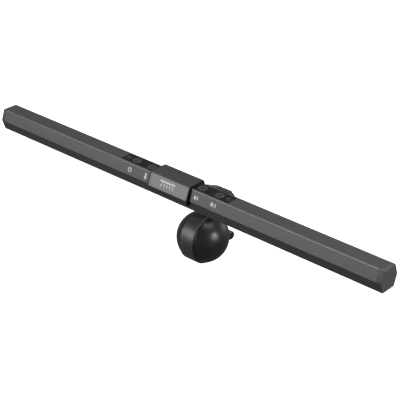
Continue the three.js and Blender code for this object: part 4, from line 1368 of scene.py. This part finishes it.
def panScrews():
    # round-headed screws with a cross recess, in a row along X with their heads up
    shape = Shape("panScrews", Head="Float", Rise="Float", Shank="Float", Length="Float", Slot="Vector",
                  Count="Int", Apart="Float", Turn="Rotation", Middle="Vector", Material="Material")
    head, rise, length, slot = (shape.given(name) for name in ("Head", "Rise", "Length", "Slot"))
    sphere = shape.add("GeometryNodeMeshUVSphere", {}, {"Segments": 32, "Rings": 16, "Radius": head})
    dome = shape.placed(sphere, Scale=shape.vector(1.0, 1.0, rise / head))
    tops = [shape.placed(shape.cube(slot), Rotation=(0, 0, turn), Translation=shape.vector(z=rise))
            for turn in (0.0, pi / 2)]
    block = shape.cube(shape.vector(head * 3, head * 3, rise * 2))
    under = shape.placed(block, Translation=shape.vector(z=rise * -1))
    cut = shape.add("GeometryNodeMeshBoolean", {"operation": "DIFFERENCE", "solver": "EXACT"},
                    {"Mesh 1": dome, "Mesh 2": [under] + tops})
    rod = shape.add("GeometryNodeMeshCylinder", {}, {
        "Vertices": 24, "Radius": shape.given("Shank"), "Depth": length})
    shank = shape.placed(rod, Translation=shape.vector(z=length * -0.5 + 0.05 * mm))
    single = shape.add("GeometryNodeJoinGeometry", {}, {"Geometry": [cut, shank]})
    apart, count = shape.given("Apart"), shape.given("Count")
    places = shape.add("GeometryNodeMeshLine", {}, {
        "Count": count, "Offset": shape.vector(apart),
        "Start Location": shape.vector(apart * (count - 1) * -0.5)})
    row = shape.add("GeometryNodeInstanceOnPoints", {}, {"Points": places, "Instance": single})
    placed = shape.placed(row, Rotation=shape.given("Turn"), Translation=shape.given("Middle"))
    return shape.finish(shape.painted(placed, "Material"))


def makeScrews():
    seat = facetMatrix(False, True, 0.0, slopeLength / 2, screw["seat"])
    piece = grown("saddleScrewsShape", panScrews(), Head=screw["head"], Rise=screw["rise"],
                  Shank=screw["shank"], Length=screw["length"], Slot=screw["slot"], Count=2,
                  Apart=screw["apart"], Turn=tuple(seat.to_euler()), Middle=seat.translation,
                  Material=looks["platedSteel"])
    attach(piece, "lamp")
    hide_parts("saddle_screw_left", "saddle_screw_right")


makeScrews()
print("clip, pads, spring and screws made")

# the rest of the model: four shapes with softened edges, six that only take a finish
softened = {
    # node: (material, edge width)
    "saddle": ("bracketPlastic", 0.25 * mm), "usb_socket": ("platedSteel", 0.08 * mm),
    "tilt_bolt": ("turnedSteel", 0.12 * mm), "tilt_nut": ("platedSteel", 0.15 * mm),
}
kept = {
    "reflector": "reflectorWhite", "control_board": "boardGreen", "friction_washer_left": "nylon",
    "friction_washer_right": "nylon", "hinge_pin": "turnedSteel", "ball_weight": "weightIron",
}


def softenedCopy(name, material, width):
    node = nodes[name]
    piece = bpy.data.objects.new(name + "Shape", node.data.copy())
    bpy.context.scene.collection.objects.link(piece)
    soften(piece, width, 30)
    return dress(piece, name, "lamp", [material])


for name, (material, width) in softened.items():
    softenedCopy(name, material, width)
for name, material in kept.items():
    for holder in nodes[name].material_slots:
        holder.material = looks[material]
print("remaining parts finished")
